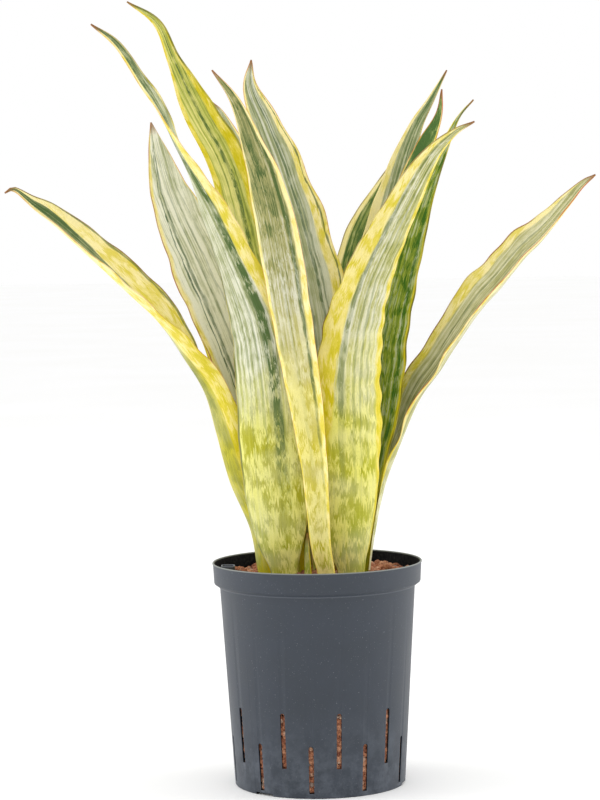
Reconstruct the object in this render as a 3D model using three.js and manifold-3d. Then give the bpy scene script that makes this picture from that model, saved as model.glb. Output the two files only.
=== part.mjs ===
// Potted snake plant: fourteen variegated leaves and a sprout grow from one branching rhizome, set in
// fired clay granules in a slotted hydroculture pot with a shaft for a water gauge. Millimetres, +Z up.
// The origin is on the pot's axis, on the surface that the pot stands on. Someone who faces the plant
// looks along +Y and has +X on the right.
import * as THREE from 'three';
import { mergeVertices } from 'three/addons/utils/BufferGeometryUtils.js';
import Module from 'manifold-3d';

// Pot
const potHeight = 195;
const rimRadius = 91.5;
const rimBandHeight = 18;
const rimShoulder = 3;
const rimTaper = 1.4;
const bodyTopRadius = 85.2;
const bodyBaseRadius = 74.5;
const potWall = 1.5;
const footHeight = 2.3;
const footWidth = 4.5;
const channelWidth = 12;
const channelSlope = 2;
const edgeRadius = 1;
const potSegments = 48;

// Slots through the wall, in two staggered rows
const slotsPerRow = 10;
const slotWidth = 4.3;
const slotRows = [
  { bottom: 4.4, height: 41, firstAngle: -6 },
  { bottom: 25.4, height: 48, firstAngle: 12 },
];

// Holes in the floor's raised channel, and notches that let water out under the foot
const drainHoles = 10;
const drainRadius = 3;
const footNotches = 3;
const notchWidth = 19;
const notchHeight = 2.2;
const notchAngle = -41;

// Shaft for the water gauge, against the wall on the left
const shaftWidth = 14;
const shaftDepth = 12;
const shaftWall = 1.2;
const shaftCorner = 3;
const shaftBelowRim = 3;
const shaftAngle = -90;
const shaftGap = 0.9;

// Granules
const bedBelowRim = 9.5;
const bedLump = 3.5;
const bedRings = 5;
const slitInset = 1.5;

// Plant
const plantHeight = 500;
const marginThickness = 1;
const thicknessPerWidth = 0.06;
const spanSteps = 2;
const acrossSteps = 4;
const crownRadius = 13;
const crownDepth = 66;
const armRadius = 9;
const stubRadius = 7;
const stubSocket = 4;
const rootsPerShoot = 3;
const rootRadius = 1.8;
const rootSpread = 26;
const rootDepth = 128;

// Space left between pieces that touch
const gap = 0.3;

// Each leaf is a list of stations along its midrib, from its seat on the rhizome to its tip: x, y, the
// height above the granules, the flat width of the blade, the heading that its inner face looks to
// (0 is +X, 90 is +Y) and the angle that the blade's channel turns through from margin to margin.
const leaves = {
  leaf_far_left: {
    shoot: 'left',
    colour: '#d3cf62',
    stations: [
      [-42, -4, -34, 24, 40, 130],
      [-48, -4, 0, 28, 38, 120],
      [-54, -3, 40, 36, 36, 115],
      [-71, -2, 84, 47, 33, 112],
      [-82, -3, 126, 54, 29, 112],
      [-92, -6, 158, 53, 22, 118],
      [-109, -11, 187, 53, 10, 125],
      [-132, -20, 223, 50, -4, 130],
      [-157, -28, 250, 46, -11, 130],
      [-189, -38, 282, 39, -15, 125],
      [-219, -45, 310, 27, -19, 108],
      [-237, -49, 324, 15, -22, 85],
      [-252, -51, 336, 5, -25, 60],
      [-260, -52, 333, 1.2, -25, 40],
    ],
  },
  leaf_left_wide: {
    shoot: 'left',
    colour: '#b4b893',
    stations: [
      [-34, 18, -34, 22, -80, 120],
      [-35, 21, 8, 26, -80, 110],
      [-39, 28, 60, 36, -80, 100],
      [-50, 38, 131, 50, -78, 85],
      [-66, 46, 188, 58, -76, 75],
      [-81, 50, 227, 62, -74, 66],
      [-100, 54, 271, 60, -72, 60],
      [-124, 59, 326, 40, -72, 55],
      [-135, 62, 366, 20, -72, 45],
      [-141, 63, 395, 1.2, -72, 30],
    ],
  },
  leaf_left_rear: {
    shoot: 'left',
    colour: '#b9b52e',
    stations: [
      [-30, 36, -34, 18, -85, 120],
      [-32, 40, 8, 20, -85, 110],
      [-41, 52, 76, 28, -84, 95],
      [-58, 63, 129, 36, -82, 80],
      [-79, 72, 191, 38, -80, 70],
      [-95, 78, 227, 32, -78, 60],
      [-110, 82, 254, 21, -78, 50],
      [-120, 84, 272, 10, -78, 45],
      [-128, 85, 284, 1.2, -78, 40],
    ],
  },
  leaf_left_front: {
    shoot: 'left',
    colour: '#bfc68a',
    stations: [
      [-30, -25, -34, 22, 85, 120],
      [-29, -28, 2, 28, 85, 120],
      [-32, -32, 28, 46, 84, 100],
      [-35, -36, 66, 60, 82, 85],
      [-39, -42, 118, 62, 80, 72],
      [-42, -47, 170, 60, 76, 62],
      [-50, -54, 222, 53, 68, 58],
      [-69, -62, 275, 42, 54, 62],
      [-88, -70, 320, 36, 38, 68],
      [-111, -79, 367, 28, 8, 70],
      [-126, -85, 400, 20, -18, 62],
      [-141, -89, 425, 13, -34, 55],
      [-160, -93, 454, 8, -42, 50],
      [-181, -95, 471, 1.2, -45, 40],
    ],
  },
  leaf_left_tall: {
    shoot: 'left',
    colour: '#8fa03c',
    stations: [
      [-20, 4, -34, 22, -85, 120],
      [-21, 6, 10, 26, -85, 110],
      [-27, 9, 107, 36, -82, 90],
      [-40, 14, 203, 46, -80, 70],
      [-55, 22, 290, 45, -78, 60],
      [-73, 29, 356, 37, -76, 55],
      [-99, 35, 405, 30, -74, 55],
      [-119, 39, 449, 13, -74, 50],
      [-133, 42, 481, 8, -74, 45],
      [-159, 44, 500, 1.2, -74, 40],
    ],
  },
  leaf_back_short: {
    shoot: 'back',
    colour: '#8d9a80',
    stations: [
      [-10, 28, -34, 20, -80, 120],
      [-8, 30, 6, 22, -80, 110],
      [-14, 47, 112, 30, -78, 80],
      [-31, 80, 217, 34, -75, 60],
      [-52, 116, 321, 30, -72, 50],
      [-67, 142, 373, 17, -72, 45],
      [-81, 162, 404, 8, -72, 40],
      [-89, 171, 416, 1.2, -72, 40],
    ],
  },
  leaf_centre_front: {
    shoot: 'front',
    colour: '#cdca86',
    stations: [
      [9, -38, -34, 18, 90, 140],
      [8, -42, 0, 18, 90, 130],
      [3, -48, 31, 21, 90, 120],
      [-1, -56, 92, 25, 90, 100],
      [-8, -65, 153, 31, 90, 80],
      [-17, -74, 213, 35, 88, 65],
      [-27, -84, 280, 37, 85, 60],
      [-37, -93, 331, 32, 82, 60],
      [-50, -99, 372, 19, 78, 55],
      [-63, -104, 406, 9, 72, 50],
      [-81, -107, 431, 1.2, 68, 40],
    ],
  },
  leaf_centre_back: {
    shoot: 'back',
    colour: '#b9bd8e',
    stations: [
      [6, 8, -34, 22, -90, 120],
      [6, 6, 8, 24, -90, 110],
      [9, 2, 104, 38, -90, 85],
      [9, 8, 192, 50, -90, 65],
      [0, 18, 255, 55, -90, 58],
      [-17, 29, 325, 45, -88, 52],
      [-37, 41, 385, 30, -86, 50],
      [-52, 48, 423, 14, -84, 45],
      [-51, 51, 448, 1.2, -84, 40],
    ],
  },
  leaf_right_front: {
    shoot: 'right',
    colour: '#c3c772',
    stations: [
      [30, -20, -34, 22, 95, 120],
      [30, -22, 2, 28, 95, 115],
      [28.5, -25, 25, 42, 96, 100],
      [30, -30, 73, 55, 98, 85],
      [29.5, -37, 129, 63, 100, 70],
      [32, -46, 194, 58, 102, 60],
      [45, -55, 250, 47, 105, 58],
      [64, -64, 292, 37, 108, 60],
      [83, -73, 329, 29, 112, 62],
      [101, -81, 359, 17, 118, 60],
      [119, -87, 377, 7, 124, 50],
      [136, -91, 386, 1.2, 128, 40],
    ],
  },
  leaf_right_striped: {
    shoot: 'right',
    colour: '#5f8046',
    stations: [
      [36, 2, -34, 22, -110, 120],
      [37, 4, 9, 26, -110, 110],
      [42, 6, 78, 40, -108, 90],
      [54, 8, 148, 50, -106, 70],
      [64, 11, 218, 46, -104, 60],
      [79, 15, 278, 38, -102, 55],
      [97, 19, 330, 24, -100, 50],
      [115, 22, 365, 10, -100, 45],
      [129, 25, 393, 3, -100, 40],
      [143, 28, 409, 1.2, -100, 40],
    ],
  },
  leaf_right_upright: {
    shoot: 'right',
    colour: '#9cab6e',
    stations: [
      [20, 30, -34, 20, -95, 120],
      [22, 32, 6, 22, -95, 110],
      [31, 38, 104, 33, -98, 85],
      [46, 47, 209, 41, -100, 65],
      [64, 58, 288, 39, -102, 55],
      [79, 69, 345, 26, -104, 50],
      [93, 76, 385, 14, -105, 45],
      [108, 81, 411, 7, -105, 40],
      [123, 84, 438, 1.2, -105, 40],
    ],
  },
  leaf_right_inner: {
    shoot: 'right',
    colour: '#7d9452',
    stations: [
      [24, 13, -34, 20, -105, 120],
      [26, 15, 7, 22, -105, 110],
      [38, 20, 104, 29, -106, 85],
      [53, 29, 200, 34, -108, 65],
      [70, 39, 278, 32, -110, 55],
      [87, 47, 331, 26, -112, 50],
      [102, 53, 370, 17, -112, 45],
      [114, 57, 397, 7, -112, 40],
      [117, 59, 420, 1.2, -112, 40],
    ],
  },
  leaf_right_rear: {
    shoot: 'right',
    colour: '#aab177',
    stations: [
      [6, 42, -34, 20, -90, 120],
      [9, 46, 5, 22, -90, 110],
      [19, 62, 102, 30, -92, 85],
      [28, 84, 199, 38, -94, 65],
      [43, 104, 279, 36, -96, 55],
      [61, 115, 319, 27, -98, 50],
      [81, 124, 356, 14, -100, 45],
      [93, 130, 383, 5, -100, 40],
      [99, 133, 397, 1.2, -100, 40],
    ],
  },
  leaf_far_right: {
    shoot: 'right',
    colour: '#b3b06f',
    stations: [
      [44, 22, -34, 22, -160, 120],
      [46, 24, 6, 26, -162, 120],
      [57, 26, 66, 36, -164, 115],
      [71, 25, 106, 41, -165, 115],
      [90, 19, 151, 46, -165, 118],
      [112, 11, 184, 49, -165, 120],
      [140, -1, 227, 51, -165, 120],
      [163, -11, 254, 48, -165, 118],
      [181, -19, 276, 43, -165, 115],
      [198, -26, 293, 34, -165, 105],
      [218, -35, 317, 21, -164, 90],
      [231, -41, 333, 9, -163, 65],
      [241, -46, 341, 1.2, -162, 40],
    ],
  },
  leaf_sprout: {
    shoot: 'front',
    colour: '#a8b22e',
    stations: [
      [-8, -28, -34, 9, 60, 150],
      [-9, -27, 4, 8, 60, 140],
      [-9, -26, 22, 5, 60, 120],
      [-8, -26, 37, 1.2, 60, 60],
    ],
  },
};

const bedTop = potHeight - bedBelowRim;
const tallestListed = Math.max(...Object.values(leaves).flatMap((leaf) => leaf.stations.map((s) => s[2])));
const plantScale = plantHeight / tallestListed;

const wasm = await Module();
wasm.setup();

// A closed geometry as a solid for joining and cutting.
function toSolid(geometry) {
  const bare = geometry.clone();
  bare.deleteAttribute('normal');
  bare.deleteAttribute('uv');
  const merged = mergeVertices(bare);
  const index = Array.from(merged.index.array);
  const triangles = [];
  for (let i = 0; i < index.length; i += 3) {
    const [a, b, c] = index.slice(i, i + 3);
    if (a !== b && b !== c && c !== a) {
      triangles.push(a, b, c);
    }
  }
  return new wasm.Manifold(new wasm.Mesh({
    numProp: 3,
    vertProperties: new Float32Array(merged.attributes.position.array),
    triVerts: new Uint32Array(triangles),
  }));
}

function toGeometry(solid) {
  const mesh = solid.getMesh();
  const geometry = new THREE.BufferGeometry();
  geometry.setAttribute('position', new THREE.BufferAttribute(mesh.vertProperties, 3));
  geometry.setIndex(new THREE.BufferAttribute(mesh.triVerts, 1));
  return geometry;
}

function cutAway(solid, cutters) {
  return cutters.reduce((rest, cutter) => rest.subtract(cutter), solid);
}

// A ring of copies turned about the pot's axis.
function around(solid, count, firstAngle) {
  return Array.from({ length: count }, (_, i) => solid.rotate([0, 0, firstAngle + (i * 360) / count]));
}

// Turned solids are drawn in radius and height, from the axis round to the axis.
function turned(profile, segments) {
  const points = profile.map(([radius, height]) => new THREE.Vector2(radius, height));
  return new THREE.LatheGeometry(points, segments).rotateX(Math.PI / 2);
}

// Outside radius of the pot's tapered body.
function bodyRadius(height) {
  const top = potHeight - rimBandHeight - rimShoulder;
  return bodyBaseRadius + ((bodyTopRadius - bodyBaseRadius) * height) / top;
}

const shoulderBottom = potHeight - rimBandHeight - rimShoulder;
const floorTop = footHeight + potWall;
const footInner = bodyBaseRadius - footWidth;
const channelInner = footInner - channelWidth;

function potSolid() {
  const shell = turned([
    [0, 0],
    [channelInner - channelSlope, 0],
    [channelInner, footHeight],
    [footInner - channelSlope, footHeight],
    [footInner, 0],
    [bodyBaseRadius - edgeRadius, 0],
    [bodyBaseRadius, edgeRadius],
    [bodyTopRadius, shoulderBottom],
    [rimRadius - rimTaper, shoulderBottom + rimShoulder],
    [rimRadius - edgeRadius / 2, potHeight - 2 * edgeRadius],
    [rimRadius, potHeight - edgeRadius],
    [rimRadius - potWall / 2, potHeight],
    [rimRadius - potWall - edgeRadius / 2, potHeight - edgeRadius],
    [rimRadius - rimTaper - potWall, shoulderBottom + rimShoulder + potWall / 2],
    [bodyTopRadius - potWall, shoulderBottom + potWall / 2],
    [bodyRadius(floorTop) - potWall, floorTop],
    [channelInner, floorTop],
    [channelInner - channelSlope, potWall],
    [0, potWall],
  ], potSegments);
  return cutAway(toSolid(shell), [...slotCutters(), ...drainCutters(), ...notchCutters()]);
}

function slotCutters() {
  const half = slotWidth / 2;
  return slotRows.flatMap(({ bottom, height, firstAngle }) => {
    const outline = new THREE.Shape();
    outline.moveTo(-half, bottom);
    outline.lineTo(half, bottom);
    outline.lineTo(half, bottom + height - half);
    outline.absarc(0, bottom + height - half, half, 0, Math.PI);
    const inner = bodyRadius(bottom) - 2 * potWall;
    const outer = bodyRadius(bottom + height) + potWall;
    const bar = new THREE.ExtrudeGeometry(outline, {
      depth: outer - inner,
      bevelEnabled: false,
      curveSegments: 4,
    });
    bar.rotateX(Math.PI / 2).translate(0, -inner, 0);
    return around(toSolid(bar), slotsPerRow, firstAngle);
  });
}

function drainCutters() {
  const radius = (footInner - channelSlope + channelInner) / 2;
  const hole = new THREE.CylinderGeometry(drainRadius, drainRadius, 3 * potWall, 12);
  hole.rotateX(Math.PI / 2).translate(0, -radius, footHeight + potWall / 2);
  return around(toSolid(hole), drainHoles, slotRows[1].firstAngle);
}

function notchCutters() {
  const length = footWidth + 2 * channelSlope + edgeRadius;
  const notch = new THREE.BoxGeometry(notchWidth, length, 2 * notchHeight);
  notch.translate(0, -(bodyBaseRadius + edgeRadius - length / 2), 0);
  return around(toSolid(notch), footNotches, notchAngle);
}

// The shaft is a tube with rounded corners that leans with the wall.
function shaftOutline(width, depth, corner) {
  const x = width / 2 - corner;
  const y = depth / 2 - corner;
  const outline = new THREE.Path();
  outline.absarc(x, y, corner, 0, Math.PI / 2);
  outline.absarc(-x, y, corner, Math.PI / 2, Math.PI);
  outline.absarc(-x, -y, corner, Math.PI, 1.5 * Math.PI);
  outline.absarc(x, -y, corner, 1.5 * Math.PI, 2 * Math.PI);
  return outline;
}

const shaftBottom = floorTop + shaftGap;
const shaftTop = potHeight - shaftBelowRim;

function shaftGeometry(clearance, bored) {
  const outer = shaftOutline(shaftWidth + 2 * clearance, shaftDepth + 2 * clearance, shaftCorner);
  const section = new THREE.Shape(outer.getPoints(3));
  if (bored) {
    const wall = shaftWall;
    const bore = shaftOutline(shaftWidth - 2 * wall, shaftDepth - 2 * wall, shaftCorner - wall);
    section.holes.push(new THREE.Path(bore.getPoints(3)));
  }
  const bottom = shaftBottom - clearance;
  const tube = new THREE.ExtrudeGeometry(section, {
    depth: shaftTop + clearance - bottom,
    bevelEnabled: false,
  });
  const lean = (bodyTopRadius - bodyBaseRadius) / shoulderBottom;
  const foot = bodyRadius(bottom) - potWall - shaftGap - shaftDepth / 2;
  const shear = new THREE.Matrix4().set(1, 0, 0, 0, 0, 1, -lean, -foot, 0, 0, 1, bottom, 0, 0, 0, 1);
  return tube.applyMatrix4(shear).rotateZ((shaftAngle * Math.PI) / 180);
}

// Stations in place: the plant's scale is applied, and heights are taken from the granules' top.
function placedStations(leaf) {
  return leaf.stations.map(([x, y, height, width, heading, channel]) => ({
    place: new THREE.Vector3(x * plantScale, y * plantScale, bedTop + height * plantScale),
    blade: new THREE.Vector3(width * plantScale, heading, channel),
  }));
}

// One ring of the blade: the inner face from margin to margin, then the outer face back.
function leafRing(centre, tangent, width, heading, channel, clearance) {
  const turn = (heading * Math.PI) / 180;
  const normal = new THREE.Vector3(Math.cos(turn), Math.sin(turn), 0);
  normal.addScaledVector(tangent, -normal.dot(tangent)).normalize();
  const side = new THREE.Vector3().crossVectors(tangent, normal);
  const bend = (channel * Math.PI) / 360;
  const half = width / 2 + clearance;
  const point = (share, face) => {
    const angle = bend * share;
    const middle = thicknessPerWidth * width * (1 - share * share);
    const offset = face * ((marginThickness + middle) / 2 + clearance);
    const across = (half * Math.sin(angle)) / bend - offset * Math.sin(angle);
    const up = (half * (1 - Math.cos(angle))) / bend + offset * Math.cos(angle);
    return centre.clone().addScaledVector(side, across).addScaledVector(normal, up);
  };
  const shares = Array.from({ length: acrossSteps + 1 }, (_, i) => (2 * i) / acrossSteps - 1);
  return [...shares.map((s) => point(s, 1)), ...shares.reverse().map((s) => point(s, -1))];
}

function leafGeometry(leaf, clearance) {
  const stations = placedStations(leaf);
  const midrib = new THREE.CatmullRomCurve3(stations.map((s) => s.place), false, 'catmullrom');
  const blade = new THREE.CatmullRomCurve3(stations.map((s) => s.blade), false, 'catmullrom');
  const steps = (stations.length - 1) * spanSteps;
  const rings = [];
  for (let i = 0; i <= steps; i++) {
    const tangent = midrib.getTangent(i / steps);
    const centre = midrib.getPoint(i / steps);
    if (i === 0) {
      centre.addScaledVector(tangent, -clearance);
    }
    const { x: width, y: heading, z: channel } = blade.getPoint(i / steps);
    rings.push(leafRing(centre, tangent, width, heading, channel, clearance));
  }
  return lofted(rings);
}

function leafSolids(clearance) {
  return Object.values(leaves).map((leaf) => toSolid(leafGeometry(leaf, clearance)));
}

// A closed skin over rings of equal length, with a flat end on the first and last ring.
function lofted(rings) {
  const count = rings[0].length;
  const index = [];
  for (let i = 0; i + 1 < rings.length; i++) {
    for (let j = 0; j < count; j++) {
      const k = (j + 1) % count;
      const low = i * count;
      const high = low + count;
      index.push(low + j, low + k, high + j, low + k, high + k, high + j);
    }
  }
  const last = (rings.length - 1) * count;
  for (let j = 0; j < count / 2 - 1; j++) {
    const k = count - 1 - j;
    index.push(j, k, j + 1, j + 1, k, k - 1);
    index.push(last + j, last + j + 1, last + k, last + j + 1, last + k - 1, last + k);
  }
  const geometry = new THREE.BufferGeometry().setFromPoints(rings.flat());
  geometry.setIndex(index);
  return geometry;
}

// A tube along a smooth curve through a few points.
function tubeAlong(points, radius, sides, steps) {
  const section = new THREE.Shape();
  for (let i = 0; i < sides; i++) {
    const angle = (i * 2 * Math.PI) / sides;
    section[i === 0 ? 'moveTo' : 'lineTo'](radius * Math.cos(angle), radius * Math.sin(angle));
  }
  return new THREE.ExtrudeGeometry(section, {
    steps,
    bevelEnabled: false,
    extrudePath: new THREE.CatmullRomCurve3(points, false, 'catmullrom'),
  });
}

// The rhizome: arms run out from a crown in the middle to an elbow under each shoot. From the elbow a
// stub turns up to each leaf of the shoot, to hold its base in a socket, and roots run down.
function rhizomeBody(clearance) {
  const crown = new THREE.Vector3(0, 0, bedTop - crownDepth * plantScale);
  const body = new THREE.SphereGeometry(crownRadius + clearance, 10, 6);
  let solid = toSolid(body.rotateX(Math.PI / 2).translate(crown.x, crown.y, crown.z));
  const addTube = (points, radius, sides, steps) => {
    solid = solid.add(toSolid(tubeAlong(points, radius + clearance, sides, steps)));
  };
  const shoots = Map.groupBy(Object.values(leaves), (leaf) => leaf.shoot);
  [...shoots.values()].forEach((shootLeaves, shoot) => {
    const seats = shootLeaves.map((leaf) => placedStations(leaf)[0].place);
    const elbow = new THREE.Vector3();
    seats.forEach((seat) => elbow.addScaledVector(seat, 1 / seats.length));
    elbow.setZ((crown.z + elbow.z) / 2 - armRadius / 2);
    const along = elbow.clone().sub(crown).setLength(armRadius / 2 + clearance);
    addTube([crown, elbow.clone().add(along)], armRadius, 8, 1);
    for (const seat of seats) {
      const foot = elbow.clone().setZ(elbow.z - armRadius / 2 - clearance);
      const top = seat.clone().setZ(seat.z + stubSocket + clearance);
      addTube([foot, elbow.clone().lerp(seat, 0.4), top], stubRadius, 6, 3);
    }
    for (let root = 0; root < rootsPerShoot; root++) {
      const turn = shoot + (root * 2 * Math.PI) / rootsPerShoot;
      const out = new THREE.Vector3(Math.cos(turn), Math.sin(turn), 0).multiplyScalar(rootSpread);
      const knee = elbow.clone().add(out).setZ(crown.z - rootSpread / 2);
      const end = elbow.clone().add(out).setZ(bedTop - rootDepth - clearance);
      addTube([elbow, knee, end], rootRadius, 5, 4);
    }
  });
  return solid;
}

// Height of the granules' uneven top above or below its mean.
function lump(x, y) {
  const long = Math.sin(x / 13 + 1.1) * Math.cos(y / 17 - 0.4);
  const short = Math.sin(x / 6.1 - y / 7.3 + 0.8) * Math.cos(y / 5.7 + x / 9.1);
  return bedLump * (0.55 * long + 0.45 * short);
}

// A slit next to the shaft parts the bed, so that the granules around the shaft are a piece of their own.
function slitGeometry() {
  const inset = bodyRadius(shaftBottom) - potWall - shaftGap - shaftDepth - slitInset;
  const slit = new THREE.BoxGeometry(2 * rimRadius, gap, 2 * potHeight);
  return slit.translate(0, -inset, 0).rotateZ((shaftAngle * Math.PI) / 180);
}

// The granules fill the pot up to the rim's band, with sockets around what stands in them.
function bedSolid() {
  const topRadius = rimRadius - rimTaper - potWall - gap;
  const bed = turned([
    [0, potWall + gap],
    [channelInner - channelSlope - gap, potWall + gap],
    [channelInner - gap, floorTop + gap],
    [bodyRadius(floorTop) - potWall - gap, floorTop + gap],
    [bodyTopRadius - potWall - gap, shoulderBottom + potWall / 2],
    [topRadius, shoulderBottom + rimShoulder + potWall / 2 + gap],
    ...Array.from({ length: bedRings + 1 }, (_, i) => [topRadius * (1 - i / bedRings), bedTop]),
  ], potSegments);
  const positions = bed.attributes.position;
  for (let i = 0; i < positions.count; i++) {
    if (positions.getZ(i) > bedTop - gap) {
      positions.setZ(i, bedTop + lump(positions.getX(i), positions.getY(i)));
    }
  }
  const cutters = [toSolid(slitGeometry()), toSolid(shaftGeometry(gap, false)), rhizomeBody(gap)];
  return cutAway(toSolid(bed), [...cutters, ...leafSolids(gap)]);
}

const plant = new THREE.Group();

function addPiece(name, geometry, color, roughness) {
  const material = new THREE.MeshStandardMaterial({ color, roughness, metalness: 0 });
  const mesh = new THREE.Mesh(geometry, material);
  mesh.name = name;
  plant.add(mesh);
}

addPiece('culture_pot', toGeometry(potSolid()), '#4d5460', 0.55);
addPiece('water_gauge_shaft', shaftGeometry(0, true), '#2b2d31', 0.6);
const [bed, bedByGauge] = bedSolid().decompose().sort((a, b) => b.volume() - a.volume());
addPiece('clay_granules', toGeometry(bed), '#a8623f', 0.95);
addPiece('clay_granules_by_gauge', toGeometry(bedByGauge), '#a8623f', 0.95);
addPiece('rhizome', toGeometry(cutAway(rhizomeBody(0), leafSolids(gap))), '#c98a4b', 0.8);
for (const [name, leaf] of Object.entries(leaves)) {
  addPiece(name, leafGeometry(leaf, 0), leaf.colour, 0.45);
}

export default plant;
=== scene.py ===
# Potted snake plant: fourteen variegated leaves and a sprout, rooted in fired clay granules in a slotted
# culture pot. Lengths are given in millimetres and built in metres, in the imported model's frame: +Z is
# up, the origin is under the pot's axis, and someone who faces the plant looks along +Y.
import math

import bpy
import numpy as np
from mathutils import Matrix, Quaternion


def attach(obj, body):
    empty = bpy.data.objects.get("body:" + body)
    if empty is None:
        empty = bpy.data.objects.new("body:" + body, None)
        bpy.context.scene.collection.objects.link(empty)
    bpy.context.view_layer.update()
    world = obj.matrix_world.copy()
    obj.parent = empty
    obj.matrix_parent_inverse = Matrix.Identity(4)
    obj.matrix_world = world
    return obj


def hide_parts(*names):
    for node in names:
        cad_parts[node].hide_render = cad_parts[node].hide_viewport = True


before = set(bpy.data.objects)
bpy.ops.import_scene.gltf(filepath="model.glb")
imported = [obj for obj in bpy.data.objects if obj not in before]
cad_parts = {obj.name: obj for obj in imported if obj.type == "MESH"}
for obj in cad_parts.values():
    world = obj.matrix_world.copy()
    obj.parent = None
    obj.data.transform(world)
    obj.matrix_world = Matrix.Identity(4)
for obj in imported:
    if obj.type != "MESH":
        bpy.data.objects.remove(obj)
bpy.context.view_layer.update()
MM = 0.001


# --- Culture pot -------------------------------------------------------------------------------------
# The pot is one injection moulding in slate grey polypropylene, with a turned-out rim band, a foot ring,
# two staggered rows of slots in its wall and drain holes in its floor. It stands on its foot ring.
def linear(colour):
    channels = [int(colour[i : i + 2], 16) / 255 for i in (1, 3, 5)]
    return [c / 12.92 if c <= 0.04045 else ((c + 0.055) / 1.055) ** 2.4 for c in channels] + [1]


def add(tree, kind, inputs, stops=(), **settings):
    """Adds one shader node with its settings, ramp stops, values and links, and gives its outputs."""
    made = tree.nodes.new("ShaderNode" + kind)
    for name, value in settings.items():
        setattr(made, name, value)
    for place, colour in stops:
        if place == stops[0][0] or place == stops[-1][0]:
            stop = made.color_ramp.elements[0 if place == stops[0][0] else -1]
            stop.position = place
        else:
            stop = made.color_ramp.elements.new(place)
        stop.color = linear(colour) if isinstance(colour, str) else (*colour, 1)
    for socket, value in inputs.items():
        if isinstance(value, bpy.types.NodeSocket):
            tree.links.new(value, made.inputs[socket])
        else:
            made.inputs[socket].default_value = linear(value) if isinstance(value, str) else value
    return made.outputs


def finish_of(name, **values):
    """A material with one principled shader, its tree and that shader's inputs."""
    made = bpy.data.materials.new(name)
    made.use_nodes = True
    shader = made.node_tree.nodes["Principled BSDF"]
    for socket, value in values.items():
        shader.inputs[socket.replace("_", " ")].default_value = value
    return made, made.node_tree, shader.inputs


def piece_from(name, points, faces, skin, stands_for=()):
    """A mesh from points in millimetres that rides with the plant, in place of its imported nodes."""
    mesh = bpy.data.meshes.new(name)
    mesh.from_pydata((np.asarray(points) * MM).tolist(), [], faces)
    mesh.materials.append(skin)
    mesh.polygons.foreach_set("use_smooth", [True] * len(mesh.polygons))
    mesh.update()
    piece = bpy.data.objects.new(name, mesh)
    bpy.context.scene.collection.objects.link(piece)
    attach(piece, "root")
    if stands_for:
        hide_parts(*stands_for)
    return piece


def apply_modifiers(piece):
    graph = bpy.context.evaluated_depsgraph_get()
    mesh = bpy.data.meshes.new_from_object(piece.evaluated_get(graph))
    piece.modifiers.clear()
    piece.data = mesh


BODY_TOP_RADIUS = 85.2
BODY_BASE_RADIUS = 74.5
BAND_INNER_RADIUS = 88.4
POT_WALL = 1.5
SHOULDER_BOTTOM = 174.0
SHOULDER_TOP = 177.0
FLOOR_TOP = 3.8
POT_SEGMENTS = 160

# Radius and height of the wall, from the middle of the underside round to the middle of the floor.
POT_PROFILE = [
    (0, 0), (56, 0), (57.9, 2.2), (58.1, 2.3), (67.9, 2.3), (68.1, 2.2), (70, 0), (73.5, 0), (74.1, 0.3),
    (74.5, 1), (85.1, 173.4), (85.3, 173.9), (86, 174.05), (86.3, 174.3), (89.8, 176.9), (90.1, 177.6),
    (90.9, 193), (91, 193.3), (91.5, 193.9), (91.5, 194.4), (91.2, 194.8), (90.75, 195), (90.3, 194.8),
    (89.7, 194.2), (89.5, 193.6), (88.7, 178.4), (88.4, 177.6), (84, 174.9), (83.7, 174.3), (73.2, 4.4),
    (72.6, 3.8), (58.2, 3.8), (57.8, 3.6), (56, 1.5), (0, 1.5),
]


def turned(profile, segments):
    """Points and faces of a closed turned solid whose profile starts and ends on its axis."""
    points = [(0, 0, profile[0][1])]
    for radius, height in profile[1:-1]:
        for i in range(segments):
            turn = 2 * math.pi * i / segments
            points.append((radius * math.cos(turn), radius * math.sin(turn), height))
    points.append((0, 0, profile[-1][1]))
    faces = []
    rings = len(profile) - 2
    for i in range(segments):
        j = (i + 1) % segments
        faces.append((0, 1 + j, 1 + i))
        for ring in range(rings - 1):
            low, high = 1 + ring * segments, 1 + (ring + 1) * segments
            faces.append((low + i, low + j, high + j, high + i))
        top = 1 + (rings - 1) * segments
        faces.append((top + i, top + j, len(points) - 1))
    return points, faces


def prism(outline, start, end):
    """A closed prism: the outline's (across, height) points drawn out along -Y from start to end."""
    count = len(outline)
    points = [(x, -start, z) for x, z in outline] + [(x, -end, z) for x, z in outline]
    faces = [tuple(reversed(range(count))), tuple(range(count, 2 * count))]
    faces += [(i, (i + 1) % count, count + (i + 1) % count, count + i) for i in range(count)]
    return points, faces


def around(points, angle):
    c, s = math.cos(math.radians(angle)), math.sin(math.radians(angle))
    return [(x * c - y * s, x * s + y * c, z) for x, y, z in points]


# Moulded polypropylene: slate grey, satin, with a fine sparked texture that scatters pale specks, and a
# trace of dried lime near the foot. The inside is the same plastic, darker for want of light.
pot_skin, tree, shader = finish_of("moulded_polypropylene", Roughness=0.5, IOR=1.49)
place = add(tree, "TexCoord", {})["Object"]
parts = add(tree, "SeparateXYZ", {0: place})
outward = add(tree, "CombineXYZ", {0: parts[0], 1: parts[1]})[0]
away = add(tree, "VectorMath", {0: outward}, operation="LENGTH")[1]
blotch = add(tree, "TexNoise", {"Vector": place, "Scale": 28.0, "Detail": 3.0, "Roughness": 0.6})[0]
body = add(tree, "ValToRGB", {0: blotch}, stops=[(0.2, "#293039"), (0.8, "#2f3641")])[0]
speck = add(tree, "TexNoise", {"Vector": place, "Scale": 900.0, "Detail": 1.0})[0]
speck = add(tree, "MapRange", {0: speck, 1: 0.71, 2: 0.78, 3: 0.0, 4: 0.45})[0]
body = add(tree, "Mix", {0: speck, 6: body, 7: "#858a90"}, data_type="RGBA")[2]
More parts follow.
